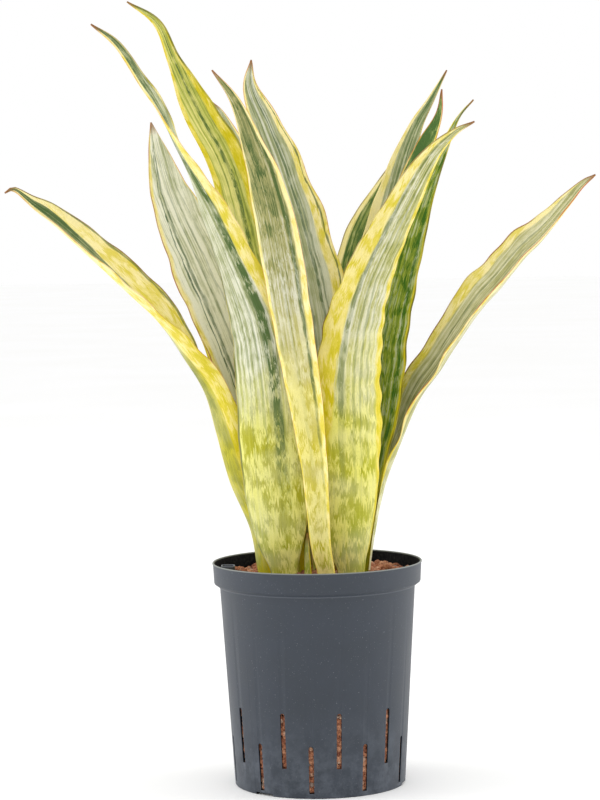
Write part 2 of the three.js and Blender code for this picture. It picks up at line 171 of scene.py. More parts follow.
near_foot = {0: parts[2], 1: 0.0, 2: 0.085, 3: 0.5, 4: 0.0}
low = add(tree, "MapRange", near_foot, interpolation_type="SMOOTHSTEP")[0]
film = add(tree, "TexNoise", {"Vector": place, "Scale": 60.0, "Detail": 5.0, "Roughness": 0.7})[0]
film = add(tree, "MapRange", {0: film, 1: 0.42, 2: 0.75, 3: 0.0, 4: 1.0})[0]
film = add(tree, "Math", {0: film, 1: low}, operation="MULTIPLY")[0]
body = add(tree, "Mix", {0: film, 6: body, 7: "#6c737d"}, data_type="RGBA")[2]
lean = (BODY_TOP_RADIUS - BODY_BASE_RADIUS) / SHOULDER_BOTTOM
slope = add(tree, "Math", {0: parts[2], 1: lean}, operation="MULTIPLY")[0]
middle = add(tree, "Math", {0: slope, 1: (BODY_BASE_RADIUS - POT_WALL / 2) * MM}, operation="ADD")[0]
band = {0: parts[2], 1: SHOULDER_BOTTOM * MM, 2: SHOULDER_TOP * MM, 3: 0.0, 4: 0.0045}
band = add(tree, "MapRange", band)[0]
middle = add(tree, "Math", {0: middle, 1: band}, operation="ADD")[0]
inside = add(tree, "Math", {0: away, 1: middle}, operation="LESS_THAN")[0]
# The inner wall is painted near black with a dark mottle: painted shade, with some dust.
inside_mottle = add(tree, "TexNoise", {"Vector": place, "Scale": 420.0, "Detail": 3.0})[0]
dust_and_painted_shade = add(tree, "ValToRGB", {0: inside_mottle}, stops=[(0.4, "#050505"), (0.72, "#1d1c1a")])[0]
body = add(tree, "Mix", {0: inside, 6: body, 7: dust_and_painted_shade}, data_type="RGBA")[2]
tree.links.new(add(tree, "MapRange", {0: inside, 3: 0.5, 4: 0.03})[0], shader["Specular IOR Level"])
# A pale line painted along the lower edge of the rim band's shoulder: a painted highlight where the edge
# catches light.
shoulder_highlight = add(tree, "Math", {0: parts[2], 1: -SHOULDER_BOTTOM * MM}, operation="ADD")[0]
shoulder_highlight = add(tree, "Math", {0: shoulder_highlight}, operation="ABSOLUTE")[0]
shoulder_highlight = add(tree, "MapRange", {0: shoulder_highlight, 1: 0.0, 2: 0.0009, 3: 0.3, 4: 0.0})[0]
body = add(tree, "Mix", {0: shoulder_highlight, 6: body, 7: "#8a9099"}, data_type="RGBA")[2]
# A pale band painted along the top of the rim's bead: a painted highlight.
lip = add(tree, "MapRange", {0: parts[2], 1: 0.1938, 2: 0.1946, 3: 0.0, 4: 0.7})[0]
body = add(tree, "Mix", {0: lip, 6: body, 7: "#8f938c"}, data_type="RGBA")[2]
tree.links.new(body, shader["Base Color"])
spark = add(tree, "TexNoise", {"Vector": place, "Scale": 1400.0, "Detail": 2.0})[0]
bump = add(tree, "Bump", {"Strength": 0.25, "Distance": 0.0003, "Height": spark})[0]
tree.links.new(bump, shader["Normal"])
tree.links.new(add(tree, "MapRange", {0: blotch, 3: 0.44, 4: 0.58})[0], shader["Roughness"])

# Slots: (height of the lower end, length, first angle), each with a round upper end, ten to a row.
SLOT_WIDTH = 4.3
SLOT_ROWS = [(4.4, 41, -6), (25.4, 48, 12)]
SLOTS_IN_ROW = 10
SLOT_PITCH = 360 / SLOTS_IN_ROW
cutters = []
half = SLOT_WIDTH / 2
for bottom, length, first in SLOT_ROWS:
    arch_centre = bottom + length - half
    turns = np.linspace(0, math.pi, 9)
    arch = [(half * math.cos(t), arch_centre + half * math.sin(t)) for t in turns]
    for i in range(SLOTS_IN_ROW):
        points, faces = prism([(-half, bottom), (half, bottom), *arch], 68, 90)
        cutters.append((around(points, first + SLOT_PITCH * i), faces))

# Round drain holes in the raised channel of the floor, under the slots of the upper row.
DRAIN_RADIUS, DRAIN_PLACE, DRAIN_SIDES = 3.0, 63.0, 24
turns = np.linspace(0, 2 * math.pi, DRAIN_SIDES, endpoint=False)
ring = [(DRAIN_RADIUS * math.cos(t), DRAIN_RADIUS * math.sin(t)) for t in turns]
points = [(x, y - DRAIN_PLACE, z) for z in (0.5, 6.0) for x, y in ring]
ends = [tuple(reversed(range(DRAIN_SIDES))), tuple(range(DRAIN_SIDES, 2 * DRAIN_SIDES))]
sides = [(k, (k + 1) % DRAIN_SIDES) for k in range(DRAIN_SIDES)]
sides = [(a, b, DRAIN_SIDES + b, DRAIN_SIDES + a) for a, b in sides]
for i in range(SLOTS_IN_ROW):
    cutters.append((around(points, SLOT_ROWS[1][2] + SLOT_PITCH * i), ends + sides))

# Notches through the foot ring, which let water out from under the floor.
NOTCH_WIDTH, NOTCH_HEIGHT, NOTCH_COUNT, NOTCH_ANGLE = 19.0, 2.2, 3, -41
half = NOTCH_WIDTH / 2
notch = [(-half, -NOTCH_HEIGHT), (half, -NOTCH_HEIGHT), (half, NOTCH_HEIGHT), (-half, NOTCH_HEIGHT)]
for i in range(NOTCH_COUNT):
    points, faces = prism(notch, 66, 76)
    cutters.append((around(points, NOTCH_ANGLE + 360 / NOTCH_COUNT * i), faces))
points, faces = [], []
for some_points, some_faces in cutters:
    faces += [tuple(k + len(points) for k in face) for face in some_faces]
    points += some_points
tool = piece_from("slot_tool", points, faces, pot_skin)
points, faces = turned(POT_PROFILE, POT_SEGMENTS)
culture_pot = piece_from("culture_pot_moulding", points, faces, pot_skin, ["culture_pot"])
cut = culture_pot.modifiers.new("slots", "BOOLEAN")
cut.operation, cut.solver, cut.object = "DIFFERENCE", "EXACT", tool
apply_modifiers(culture_pot)
bpy.data.objects.remove(tool)
edge = culture_pot.modifiers.new("edges", "BEVEL")
edge.width, edge.segments = 0.25 * MM, 2
edge.limit_method, edge.angle_limit = "ANGLE", math.radians(50)
apply_modifiers(culture_pot)
culture_pot.data.set_sharp_from_angle(angle=math.radians(40))


# --- Water gauge shaft -------------------------------------------------------------------------------
# A rectangular tube with rounded corners leans against the wall on the left, for a water gauge to slide
# down. It is moulded in the same kind of plastic, nearly black, and a pale painted highlight lies on its lip.
SHAFT_WIDTH, SHAFT_DEPTH, SHAFT_WALL, SHAFT_CORNER = 14.0, 12.0, 1.2, 3.0
SHAFT_BOTTOM, SHAFT_TOP, SHAFT_GAP = 4.7, 192.0, 0.9

shaft_skin, tree, shader = finish_of("moulded_black_polypropylene", Roughness=0.38, IOR=1.49)
place = add(tree, "TexCoord", {})["Object"]
height = add(tree, "SeparateXYZ", {0: place})[2]
# The top of the tube is painted pale grey-blue: a painted highlight on its lip.
lip_highlight = add(tree, "MapRange", {0: height, 1: 0.1905, 2: 0.1918, 3: 0.0, 4: 0.45})[0]
cloud = add(tree, "TexNoise", {"Vector": place, "Scale": 120.0, "Detail": 4.0})[0]
base = add(tree, "ValToRGB", {0: cloud}, stops=[(0.3, "#0d0e10"), (0.75, "#1d1f23")])[0]
base = add(tree, "Mix", {0: lip_highlight, 6: base, 7: "#7c8490"}, data_type="RGBA")[2]
tree.links.new(base, shader["Base Color"])
spark = add(tree, "TexNoise", {"Vector": place, "Scale": 1400.0, "Detail": 2.0})[0]
tree.links.new(add(tree, "Bump", {"Strength": 0.2, "Distance": 0.0003, "Height": spark})[0], shader["Normal"])


def shaft_ring(inset, height):
    """The tube's outline, drawn in by inset, at a height along the leaning wall."""
    lean = (BODY_TOP_RADIUS - BODY_BASE_RADIUS) / SHOULDER_BOTTOM
    centre = BODY_BASE_RADIUS + lean * height - POT_WALL - SHAFT_GAP - SHAFT_DEPTH / 2
    corner = SHAFT_CORNER - inset
    points = []
    for quarter in range(4):
        signs = ((1, 1), (-1, 1), (-1, -1), (1, -1))[quarter]
        for step in range(6):
            turn = math.pi / 2 * (quarter + step / 5)
            along = signs[0] * (SHAFT_WIDTH / 2 - SHAFT_CORNER) + corner * math.cos(turn)
            across = signs[1] * (SHAFT_DEPTH / 2 - SHAFT_CORNER) + corner * math.sin(turn)
            points.append((-centre - across, along, height))
    return points


# Up the outside, over the rounded lip and down the bore.
levels = np.linspace(SHAFT_BOTTOM, SHAFT_TOP - 0.5, 12)
lip = [(0.12, 0.15), (0.35, 0), (0.85, 0), (1.08, 0.15)]
rings = [shaft_ring(0, z) for z in levels] + [shaft_ring(inset, SHAFT_TOP - drop) for inset, drop in lip]
rings += [shaft_ring(SHAFT_WALL, z) for z in levels[::-1]]
points = [p for ring in rings for p in ring]
count = len(rings[0])
faces = []
for r in range(len(rings)):
    here, there = r * count, (r + 1) % len(rings) * count
    for k in range(count):
        n = (k + 1) % count
        faces.append((here + k, here + n, there + n, there + k))
shaft = piece_from("water_gauge_tube", points, faces, shaft_skin, ["water_gauge_shaft"])
shaft.data.set_sharp_from_angle(angle=math.radians(40))


# --- Clay granules -----------------------------------------------------------------------------------
# Expanded clay for hydroculture: balls and broken crumbs of 4 to 12 mm, fired terracotta, loose in the
# pot. The ones that show, on top and behind the slots, are single grains over a dark core of the rest.
BED_TOP = 185.5
BED_LUMP = 3.5
random = np.random.default_rng(7)


def lump(x, y):
    """Height of the granules' uneven top above or below its mean."""
    long = math.sin(x / 13 + 1.1) * math.cos(y / 17 - 0.4)
    short = math.sin(x / 6.1 - y / 7.3 + 0.8) * math.cos(y / 5.7 + x / 9.1)
    return BED_LUMP * (0.55 * long + 0.45 * short)


# Fired clay: matt terracotta that varies from grain to grain, with a sintered paler skin, open pores
# and a few grey overfired grains.
clay, tree, shader = finish_of("fired_expanded_clay", Roughness=0.95, IOR=1.5)
place = add(tree, "TexCoord", {})["Object"]
grain = add(tree, "Attribute", {}, attribute_name="grain")["Fac"]
firing = [(0.0, "#8d5640"), (0.2, "#ad6f50"), (0.5, "#c58663"), (0.8, "#d9a07c"), (0.93, "#cdac94")]
tint = add(tree, "ValToRGB", {0: grain}, stops=[*firing, (1.0, "#8d827c")])[0]
pore = add(tree, "TexNoise", {"Vector": place, "Scale": 520.0, "Detail": 4.0, "Roughness": 0.7})[0]
shade = add(tree, "ValToRGB", {0: pore}, stops=[(0.3, "#7a5446"), (0.5, "#e4e0de"), (0.72, "#ffffff")])[0]
tint = add(tree, "Mix", {0: 0.85, 6: tint, 7: shade}, data_type="RGBA", blend_type="MULTIPLY")[2]
tree.links.new(tint, shader["Base Color"])
crumb = add(tree, "TexVoronoi", {"Vector": place, "Scale": 700.0})["Distance"]
rough = add(tree, "Math", {0: pore, 1: crumb}, operation="ADD")[0]
tree.links.new(add(tree, "Bump", {"Strength": 0.7, "Distance": 0.0008, "Height": rough})[0], shader["Normal"])

# The shade between the grains, on the core that they lie on.
depth, tree, shader = finish_of("clay_in_shade", Roughness=1.0)
place = add(tree, "TexCoord", {})["Object"]
cloud = add(tree, "TexNoise", {"Vector": place, "Scale": 180.0, "Detail": 3.0})[0]
shade = add(tree, "ValToRGB", {0: cloud}, stops=[(0.35, "#120b08"), (0.7, "#3a2016")])[0]
tree.links.new(shade, shader["Base Color"])


def icosphere(splits):
    """Points on a ball of radius 1, and its triangles."""
    g = (1 + 5**0.5) / 2
    points = [(-1, g, 0), (1, g, 0), (-1, -g, 0), (1, -g, 0), (0, -1, g), (0, 1, g)]
    points += [(0, -1, -g), (0, 1, -g), (g, 0, -1), (g, 0, 1), (-g, 0, -1), (-g, 0, 1)]
    faces = [(0, 11, 5), (0, 5, 1), (0, 1, 7), (0, 7, 10), (0, 10, 11), (1, 5, 9), (5, 11, 4), (11, 10, 2)]
    faces += [(10, 7, 6), (7, 1, 8), (3, 9, 4), (3, 4, 2), (3, 2, 6), (3, 6, 8), (3, 8, 9), (4, 9, 5)]
    faces += [(2, 4, 11), (6, 2, 10), (8, 6, 7), (9, 8, 1)]
    for _ in range(splits):
        middles, parts = {}, []
        for a, b, c in faces:
            found = []
            for p, q in ((a, b), (b, c), (c, a)):
                key = (min(p, q), max(p, q))
                if key not in middles:
                    middles[key] = len(points)
                    points.append(tuple((np.array(points[p]) + np.array(points[q])) / 2))
                found.append(middles[key])
            parts += [(a, found[0], found[2]), (b, found[1], found[0]), (c, found[2], found[1]), tuple(found)]
        faces = parts
        points = [tuple(np.array(p) / np.linalg.norm(p)) for p in points]
    return np.array(points), np.array(faces)


def crumbly(ball, bumps, sharp):
    """A ball's points pushed in and out by a few random directions, like a broken clay crumb."""
    out = np.ones(len(ball))
    for _ in range(bumps):
        direction = random.normal(size=3)
        direction /= np.linalg.norm(direction)
        out += random.uniform(-0.16, 0.2) * np.exp(sharp * (ball @ direction - 1))
    for _ in range(3):
        direction = random.normal(size=3)
        direction /= np.linalg.norm(direction)
        cut = random.uniform(0.72, 0.95)
        out = np.minimum(out, cut / np.maximum(ball @ direction, 0.3))
    return ball * (out * random.uniform(0.93, 1.07, len(ball)))[:, None]


def grains_mesh(name, grains, splits):
    """Every grain in one mesh: grains lists (x, y, z, radius)."""
    ball, triangles = icosphere(splits)
    kinds = [crumbly(ball, 14, 5.0) for _ in range(14)]
    points, faces, tints = [], [], []
    for n, (x, y, z, radius) in enumerate(grains):
        turn, _ = np.linalg.qr(random.normal(size=(3, 3)))
        if np.linalg.det(turn) < 0:
            turn[0] *= -1
        shape = kinds[n % len(kinds)] * random.uniform(0.85, 1.15, 3)
        points.append(shape @ turn * radius + (x, y, z))
        faces.append(triangles + n * len(ball))
        tints.append(np.full(len(ball), random.uniform(0, 1)))
    piece = piece_from(name, np.concatenate(points), np.concatenate(faces).tolist(), clay)
    tint = piece.data.attributes.new("grain", "FLOAT", "POINT")
    tint.data.foreach_set("value", np.concatenate(tints).astype(np.float32))
    return piece


def wall_inside(height):
    """Radius of the pot's inner wall."""
    if height > SHOULDER_TOP:
        return BAND_INNER_RADIUS
    return BODY_BASE_RADIUS + (BODY_TOP_RADIUS - BODY_BASE_RADIUS) * height / SHOULDER_BOTTOM - POT_WALL


# Grains are dropped on the bed at random, and one that would land on another is left out.
GRAIN_RADII, GRAIN_SHARES = [2.2, 3.0, 3.8, 4.6, 5.6], [0.24, 0.27, 0.25, 0.16, 0.08]
GRAINS_REACH = 88.0
top_grains = []
for _ in range(9000):
    radius = random.choice(GRAIN_RADII, p=GRAIN_SHARES)
    away = (GRAINS_REACH - radius) * math.sqrt(random.uniform())
    turn = random.uniform(0, 2 * math.pi)
    x, y = away * math.cos(turn), away * math.sin(turn)
    if all((x - p[0]) ** 2 + (y - p[1]) ** 2 > (0.74 * (radius + p[3])) ** 2 for p in top_grains):
        sunk = random.uniform(-1.8, 1.0)
        top_grains.append((x, y, BED_TOP + lump(x, y) - radius + sunk, radius))
top_layer = grains_mesh("clay_grains_top", top_grains, 2)

# Behind each slot, three columns of grains are stacked against the wall.
slot_grains = []
for bottom, length, first in SLOT_ROWS:
    for i in range(SLOTS_IN_ROW):
        turn = math.radians(first + SLOT_PITCH * i - 90)
        for across in (-3.2, 0.0, 3.2):
            z = bottom - 1
            while z < bottom + length + 2:
                radius = random.uniform(2.0, 3.4)
                away = wall_inside(z) - radius - random.uniform(0.2, 1.0)
                side = across + random.uniform(-0.8, 0.8)
                x = away * math.cos(turn) - side * math.sin(turn)
                y = away * math.sin(turn) + side * math.cos(turn)
                slot_grains.append((x, y, max(z, FLOOR_TOP + radius + 0.2), radius))
                z += radius * random.uniform(1.25, 1.75)
slot_layer = grains_mesh("clay_grains_behind_slots", slot_grains, 2)

# The core lies 5 mm behind the wall and 5 mm under the bed's lumpy top.
CORE_DEPTH = 5.0
core_top = BED_TOP - CORE_DEPTH
core_profile = [(0, 4.4), (70, 4.4)]
core_profile += [(wall_inside(height) - CORE_DEPTH, height) for height in (10, 172)] + [(83, 179)]
core_profile += [(82 * (1 - k / 20), core_top) for k in range(20)] + [(0, core_top)]
points, faces = turned(core_profile, 72)
points = [(x, y, z + lump(x, y) if z > core_top - 1 else z) for x, y, z in points]
core = piece_from("clay_core", points, faces, depth, ["clay_granules", "clay_granules_by_gauge"])


# --- Rhizome -----------------------------------------------------------------------------------------
# The thick underground stem that every leaf grows from, with its roots. It lies in the granules and
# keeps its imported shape: living tissue with a thin yellow-brown skin and pale rings.
rhizome_skin, tree, shader = finish_of("living_rhizome", Roughness=0.6, IOR=1.4)
place = add(tree, "TexCoord", {})["Object"]
bands = {"Vector": place, "Scale": 60.0, "Distortion": 3.0, "Detail": 2.0}
ring = add(tree, "TexWave", bands, bands_direction="Z")[0]
colour = add(tree, "ValToRGB", {0: ring}, stops=[(0.2, "#b5793c"), (0.7, "#d9a15a"), (0.95, "#e6c48f")])[0]
tree.links.new(colour, shader["Base Color"])
tree.links.new(add(tree, "Bump", {"Strength": 0.3, "Distance": 0.0005, "Height": ring})[0], shader["Normal"])
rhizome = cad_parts["rhizome"]
rhizome.data.materials.clear()
rhizome.data.materials.append(rhizome_skin)


# --- Leaves ------------------------------------------------------------------------------------------
# Stiff, fleshy sword leaves, 3 to 5 mm thick in the middle and 1 mm at the margin, channelled towards
# the base, with cream to yellow margins, grey-green middles and a mottled base.
# Each leaf's own sizes and look, in millimetres unless said otherwise:
# stations  along the midrib from the rhizome to the tip: x, y, height above the granules, flat width, the
#           heading that the inner face looks to (0 is +X, 90 is +Y) and the angle of the blade's channel
# course    share of the length above the granules, width of the margin band on the low side (across = -1)
#           and on the high side (across = +1) as a share of the half width, and how green the middle is
# stripes   place across, half width and strength of each dark stripe; lines are the same in the margins
# light, middle, dark     colours of the middle, from its palest to its greenest
# pale, deep, mottle      the two colours of the mottled base, and the height that it reaches
# tone, fade              how yellow the margins are halfway up, and how much more so at the base
# edge_low, edge_high     width of the dark green line inside each margin, partly painted shade on its
#                         shaded side; red is the strength of the red-brown line on both
# band                    strength of the cross-bands
# wave, nick              ripple of the margins, and their unevenness as a share of the width
# fold, fold_at           how far the high margin folds over, and at which height
# seed                    picks the leaf's own noise
LEAVES = {
    "leaf_far_left": {
        "stations": [
            (-42, -4, -34, 24, 40, 130),
            (-48, -4, 0, 28, 38, 120),
            (-54, -3, 40, 36, 36, 115),
            (-71, -2, 84, 47, 33, 112),
            (-82, -3, 126, 54, 29, 112),
            (-92, -6, 158, 53, 22, 118),
            (-109, -11, 187, 53, 10, 125),
            (-132, -20, 223, 50, -4, 130),
            (-157, -28, 250, 46, -11, 130),
            (-189, -38, 282, 39, -15, 125),
            (-219, -45, 310, 27, -19, 108),
            (-237, -49, 324, 15, -22, 85),
            (-252, -51, 336, 5, -25, 60),
            (-260, -52, 333, 1.2, -25, 40),
        ],
        "course": [
            (0, 0.5, 0.5, 0.3),
            (0.25, 0.55, 0.6, 0.4),
            (0.5, 0.6, 1, 0.35),
            (0.7, 0.75, 1, 0.4),
            (0.8, 0.55, 0.8, 0.7),
            (0.88, 0.45, 0.62, 0.85),
            (1, 0.5, 0.5, 0.6),
        ],
        "stripes": [
            (-0.1, 0.25, 0.5),
        ],
        "lines": [
            (0.93, 0.05, 0.7),
        ],
        "light": "#cccbb0",
        "middle": "#a0a578",
        "dark": "#476030",
        "pale": "#bfb51c",
        "deep": "#9b9704",
        "mottle": 230,
        "tone": 0.5,
        "fade": 0.55,
        "edge_low": 0,
        "edge_high": 1,
        "red": 0.5,
        "band": 0.08,
        "wave": 1.4,
        "nick": 0.02,
        "fold": 0,
        "fold_at": 0,
        "seed": 1,
    },
    "leaf_left_wide": {
        "stations": [
            (-34, 18, -34, 22, -80, 120),
            (-35, 21, 8, 26, -80, 110),
            (-39, 28, 60, 36, -80, 100),
            (-50, 38, 131, 50, -78, 85),
            (-66, 46, 188, 58, -76, 75),
            (-81, 50, 227, 62, -74, 66),
            (-100, 54, 271, 60, -72, 60),
            (-124, 59, 326, 40, -72, 55),
            (-135, 62, 366, 20, -72, 45),
            (-141, 63, 395, 1.2, -72, 30),
        ],
        "course": [
            (0, 0.3, 0.15, 0.05),
            (0.35, 0.2, 0.08, 0.12),
            (0.7, 0.16, 0.06, 0.18),
            (1, 0.2, 0.1, 0.35),
        ],
        "stripes": [
            (-0.52, 0.035, 0.9),
            (-0.38, 0.07, 0.75),
            (-0.05, 0.04, 0.4),
            (0.2, 0.04, 0.35),
            (0.45, 0.03, 0.3),
        ],
        "lines": [],
        "light": "#ecebd8",
        "middle": "#b0b48c",
        "dark": "#46613a",
        "pale": "#f0ecc6",
        "deep": "#d6d078",
        "mottle": 150,
        "tone": 0.3,
        "fade": 0.3,
        "edge_low": 0.6,
        "edge_high": 0,
        "red": 0.8,
        "band": 0.08,
        "wave": 1.2,
        "nick": 0.02,
        "fold": 0,
        "fold_at": 0,
        "seed": 2,
    },
    "leaf_left_rear": {
        "stations": [
            (-30, 36, -34, 18, -85, 120),
            (-32, 40, 8, 20, -85, 110),
            (-41, 52, 76, 28, -84, 95),
            (-58, 63, 129, 36, -82, 80),
            (-79, 72, 191, 38, -80, 70),
            (-95, 78, 227, 32, -78, 60),
            (-110, 82, 254, 21, -78, 50),
            (-120, 84, 272, 10, -78, 45),
            (-128, 85, 284, 1.2, -78, 40),
        ],
        "course": [
            (0, 0.5, 0.5, 0.3),
            (0.5, 0.55, 0.55, 0.35),
            (1, 0.4, 0.4, 0.4),
        ],
        "stripes": [
            (0, 0.15, 0.4),
        ],
        "lines": [],
        "light": "#cccbb0",
        "middle": "#a0a578",
        "dark": "#476030",
        "pale": "#cfc948",
        "deep": "#b9b010",
        "mottle": 300,
        "tone": 0.95,
        "fade": 0.3,
        "edge_low": 0.8,
        "edge_high": 0,
        "red": 0.3,
        "band": 0.08,
        "wave": 1,
        "nick": 0.02,
        "fold": 0,
        "fold_at": 0,
        "seed": 3,
    },
    "leaf_left_front": {
        "stations": [
            (-30, -25, -34, 22, 85, 120),
            (-29, -28, 2, 28, 85, 120),
            (-32, -32, 28, 46, 84, 100),
            (-35, -36, 66, 60, 82, 85),
            (-39, -42, 118, 62, 80, 72),
            (-42, -47, 170, 60, 76, 62),
            (-50, -54, 222, 53, 68, 58),
            (-69, -62, 275, 42, 54, 62),
            (-88, -70, 320, 36, 38, 68),
            (-111, -79, 367, 28, 8, 70),
            (-126, -85, 400, 20, -18, 62),
            (-141, -89, 425, 13, -34, 55),
            (-160, -93, 454, 8, -42, 50),
            (-181, -95, 471, 1.2, -45, 40),
        ],
        "course": [
            (0, 0, 0, 0.15),
            (0.2, 0.12, 0.05, 0.25),
            (0.32, 0.42, 0.06, 0.3),
            (0.55, 0.55, 0.08, 0.38),
            (0.72, 0.5, 0.15, 0.55),
            (0.82, 0.35, 0.3, 0.7),
            (1, 0.4, 0.35, 0.6),
        ],
        "stripes": [
            (-0.28, 0.2, 0.95),
            (0.1, 0.04, 0.35),
            (0.45, 0.04, 0.25),
        ],
        "lines": [],
        "light": "#dcdcc6",
        "middle": "#a0a578",
        "dark": "#47602e",
        "pale": "#dcd874",
        "deep": "#a3a00c",
        "mottle": 175,
        "tone": 0.5,
        "fade": 0.3,
        "edge_low": 0,
        "edge_high": 3,
        "red": 0.5,
        "band": 0.12,
        "wave": 1.2,
        "nick": 0.02,
        "fold": 0,
        "fold_at": 0,
        "seed": 4,
    },
    "leaf_left_tall": {
        "stations": [
            (-20, 4, -34, 22, -85, 120),
            (-21, 6, 10, 26, -85, 110),
            (-27, 9, 107, 36, -82, 90),
            (-40, 14, 203, 46, -80, 70),
            (-55, 22, 290, 45, -78, 60),
            (-73, 29, 356, 37, -76, 55),
            (-99, 35, 405, 30, -74, 55),
            (-119, 39, 449, 13, -74, 50),
            (-133, 42, 481, 8, -74, 45),
            (-159, 44, 500, 1.2, -74, 40),
        ],
        "course": [
            (0, 0.3, 0.5, 0.4),
            (0.4, 0.35, 0.6, 0.4),
            (0.62, 0.28, 0.66, 0.42),
            (0.85, 0.25, 0.45, 0.5),
            (1, 0.5, 0.5, 0.5),
        ],
        "stripes": [
            (-0.02, 0.13, 0.85),
            (-0.35, 0.04, 0.4),
        ],
        "lines": [],
        "light": "#e2da88",
        "middle": "#acb04a",
        "dark": "#42602a",
        "pale": "#d6cf52",
        "deep": "#bfb60c",
        "mottle": 120,
        "tone": 0.85,
        "fade": 0.3,
        "edge_low": 0,
        "edge_high": 1.6,
        "red": 0.1,
        "band": 0.08,
        "wave": 1.8,
        "nick": 0.05,
        "fold": 0,
        "fold_at": 0,
        "seed": 5,
    },
    "leaf_back_short": {
        "stations": [
            (-10, 28, -34, 20, -80, 120),
            (-8, 30, 6, 22, -80, 110),
            (-14, 47, 112, 30, -78, 80),
            (-31, 80, 217, 34, -75, 60),
            (-52, 116, 321, 30, -72, 50),
            (-67, 142, 373, 17, -72, 45),
            (-81, 162, 404, 8, -72, 40),
            (-89, 171, 416, 1.2, -72, 40),
        ],
        "course": [
            (0, 0.2, 0.2, 0.5),
            (0.6, 0.22, 0.2, 0.5),
            (1, 0.3, 0.3, 0.5),
        ],
        "stripes": [
            (0.1, 0.1, 0.5),
        ],
        "lines": [],
        "light": "#cccbb0",
        "middle": "#a0a578",
        "dark": "#476030",
        "pale": "#dad8a4",
        "deep": "#b0ad3c",
        "mottle": 80,
        "tone": 0.2,
        "fade": 0.3,
        "edge_low": 0,
        "edge_high": 0,
        "red": 0.9,
        "band": 0.08,
        "wave": 1,
        "nick": 0.02,
        "fold": 0,
        "fold_at": 0,
        "seed": 6,
    },
    "leaf_centre_front": {
        "stations": [
            (9, -38, -34, 18, 90, 140),
            (8, -42, 0, 18, 90, 130),
            (3, -48, 31, 21, 90, 120),
            (-1, -56, 92, 25, 90, 100),
            (-8, -65, 153, 31, 90, 80),
            (-17, -74, 213, 35, 88, 65),
            (-27, -84, 280, 37, 85, 60),
            (-37, -93, 331, 32, 82, 60),
            (-50, -99, 372, 19, 78, 55),
            (-63, -104, 406, 9, 72, 50),
            (-81, -107, 431, 1.2, 68, 40),
        ],
        "course": [
            (0, 0.3, 0.22, 0.12),
            (0.3, 0.36, 0.22, 0.15),
            (0.55, 0.34, 0.2, 0.35),
            (0.8, 0.26, 0.16, 0.7),
            (1, 0.3, 0.3, 0.6),
        ],
        "stripes": [
            (-0.52, 0.1, 0.85),
            (0.1, 0.12, 0.2),
        ],
        "lines": [],
        "light": "#d2d0b8",
        "middle": "#a39f66",
        "dark": "#4c6130",
        "pale": "#e4da80",
        "deep": "#bfb11e",
        "mottle": 210,
        "tone": 0.25,
        "fade": 0.3,
        "edge_low": 0,
        "edge_high": 0,
        "red": 0.95,
        "band": 0.16,
        "wave": 0.9,
        "nick": 0.02,
        "fold": 0,
        "fold_at": 0,
        "seed": 7,
    },
    "leaf_centre_back": {
        "stations": [
            (6, 8, -34, 22, -90, 120),
            (6, 6, 8, 24, -90, 110),
            (9, 2, 104, 38, -90, 85),
            (9, 8, 192, 50, -90, 65),
            (0, 18, 255, 55, -90, 58),
            (-17, 29, 325, 45, -88, 52),
            (-37, 41, 385, 30, -86, 50),
            (-52, 48, 423, 14, -84, 45),
            (-51, 51, 448, 1.2, -84, 40),
        ],
        "course": [
            (0, 0, 0, 0.25),
            (0.3, 0.05, 0.1, 0.25),
            (0.5, 0.12, 0.5, 0.28),
            (0.75, 0.12, 0.42, 0.3),
            (1, 0.3, 0.35, 0.4),
        ],
        "stripes": [
            (0.16, 0.07, 0.8),
            (0.3, 0.05, 0.6),
            (-0.25, 0.05, 0.5),
            (-0.5, 0.04, 0.35),
        ],
        "lines": [
            (0.86, 0.04, 0.8),
        ],
        "light": "#cfd0b8",
        "middle": "#a0a578",
        "dark": "#476034",
        "pale": "#d9d67a",
        "deep": "#a2a118",
        "mottle": 165,
        "tone": 0.4,
        "fade": 0.3,
        "edge_low": 0,
        "edge_high": 0,
        "red": 0.6,
        "band": 0.08,
        "wave": 1.5,
        "nick": 0.05,
        "fold": 0,
        "fold_at": 0,
        "seed": 8,
    },
    "leaf_right_front": {
        "stations": [
            (30, -20, -34, 22, 95, 120),
            (30, -22, 2, 28, 95, 115),
            (28.5, -25, 25, 42, 96, 100),
            (30, -30, 73, 55, 98, 85),
            (29.5, -37, 129, 63, 100, 70),
            (32, -46, 194, 58, 102, 60),
            (45, -55, 250, 47, 105, 58),
            (64, -64, 292, 37, 108, 60),
            (83, -73, 329, 29, 112, 62),
            (101, -81, 359, 17, 118, 60),
            (119, -87, 377, 7, 124, 50),
            (136, -91, 386, 1.2, 128, 40),
        ],
        "course": [
            (0, 0.05, 0.1, 0.15),
            (0.2, 0.15, 0.3, 0.18),
            (0.36, 0.22, 0.6, 0.2),
            (0.6, 0.2, 0.7, 0.3),
            (0.85, 0.3, 0.6, 0.4),
            (1, 0.5, 0.5, 0.5),
        ],
        "stripes": [
            (0.24, 0.1, 0.6),
            (-0.1, 0.05, 0.4),
            (-0.3, 0.05, 0.4),
            (-0.5, 0.04, 0.3),
        ],
        "lines": [],
        "light": "#dad8bc",
        "middle": "#acab66",
        "dark": "#476030",
        "pale": "#e0db6c",
        "deep": "#a9a80c",
        "mottle": 185,
        "tone": 0.6,
        "fade": 0.3,
        "edge_low": 0,
        "edge_high": 0.9,
        "red": 0.5,
        "band": 0.12,
        "wave": 1.2,
        "nick": 0.04,
        "fold": 3,
        "fold_at": 230,
        "seed": 9,
    },
    "leaf_right_striped": {
        "stations": [
            (36, 2, -34, 22, -110, 120),
            (37, 4, 9, 26, -110, 110),
            (42, 6, 78, 40, -108, 90),
            (54, 8, 148, 50, -106, 70),
            (64, 11, 218, 46, -104, 60),
            (79, 15, 278, 38, -102, 55),
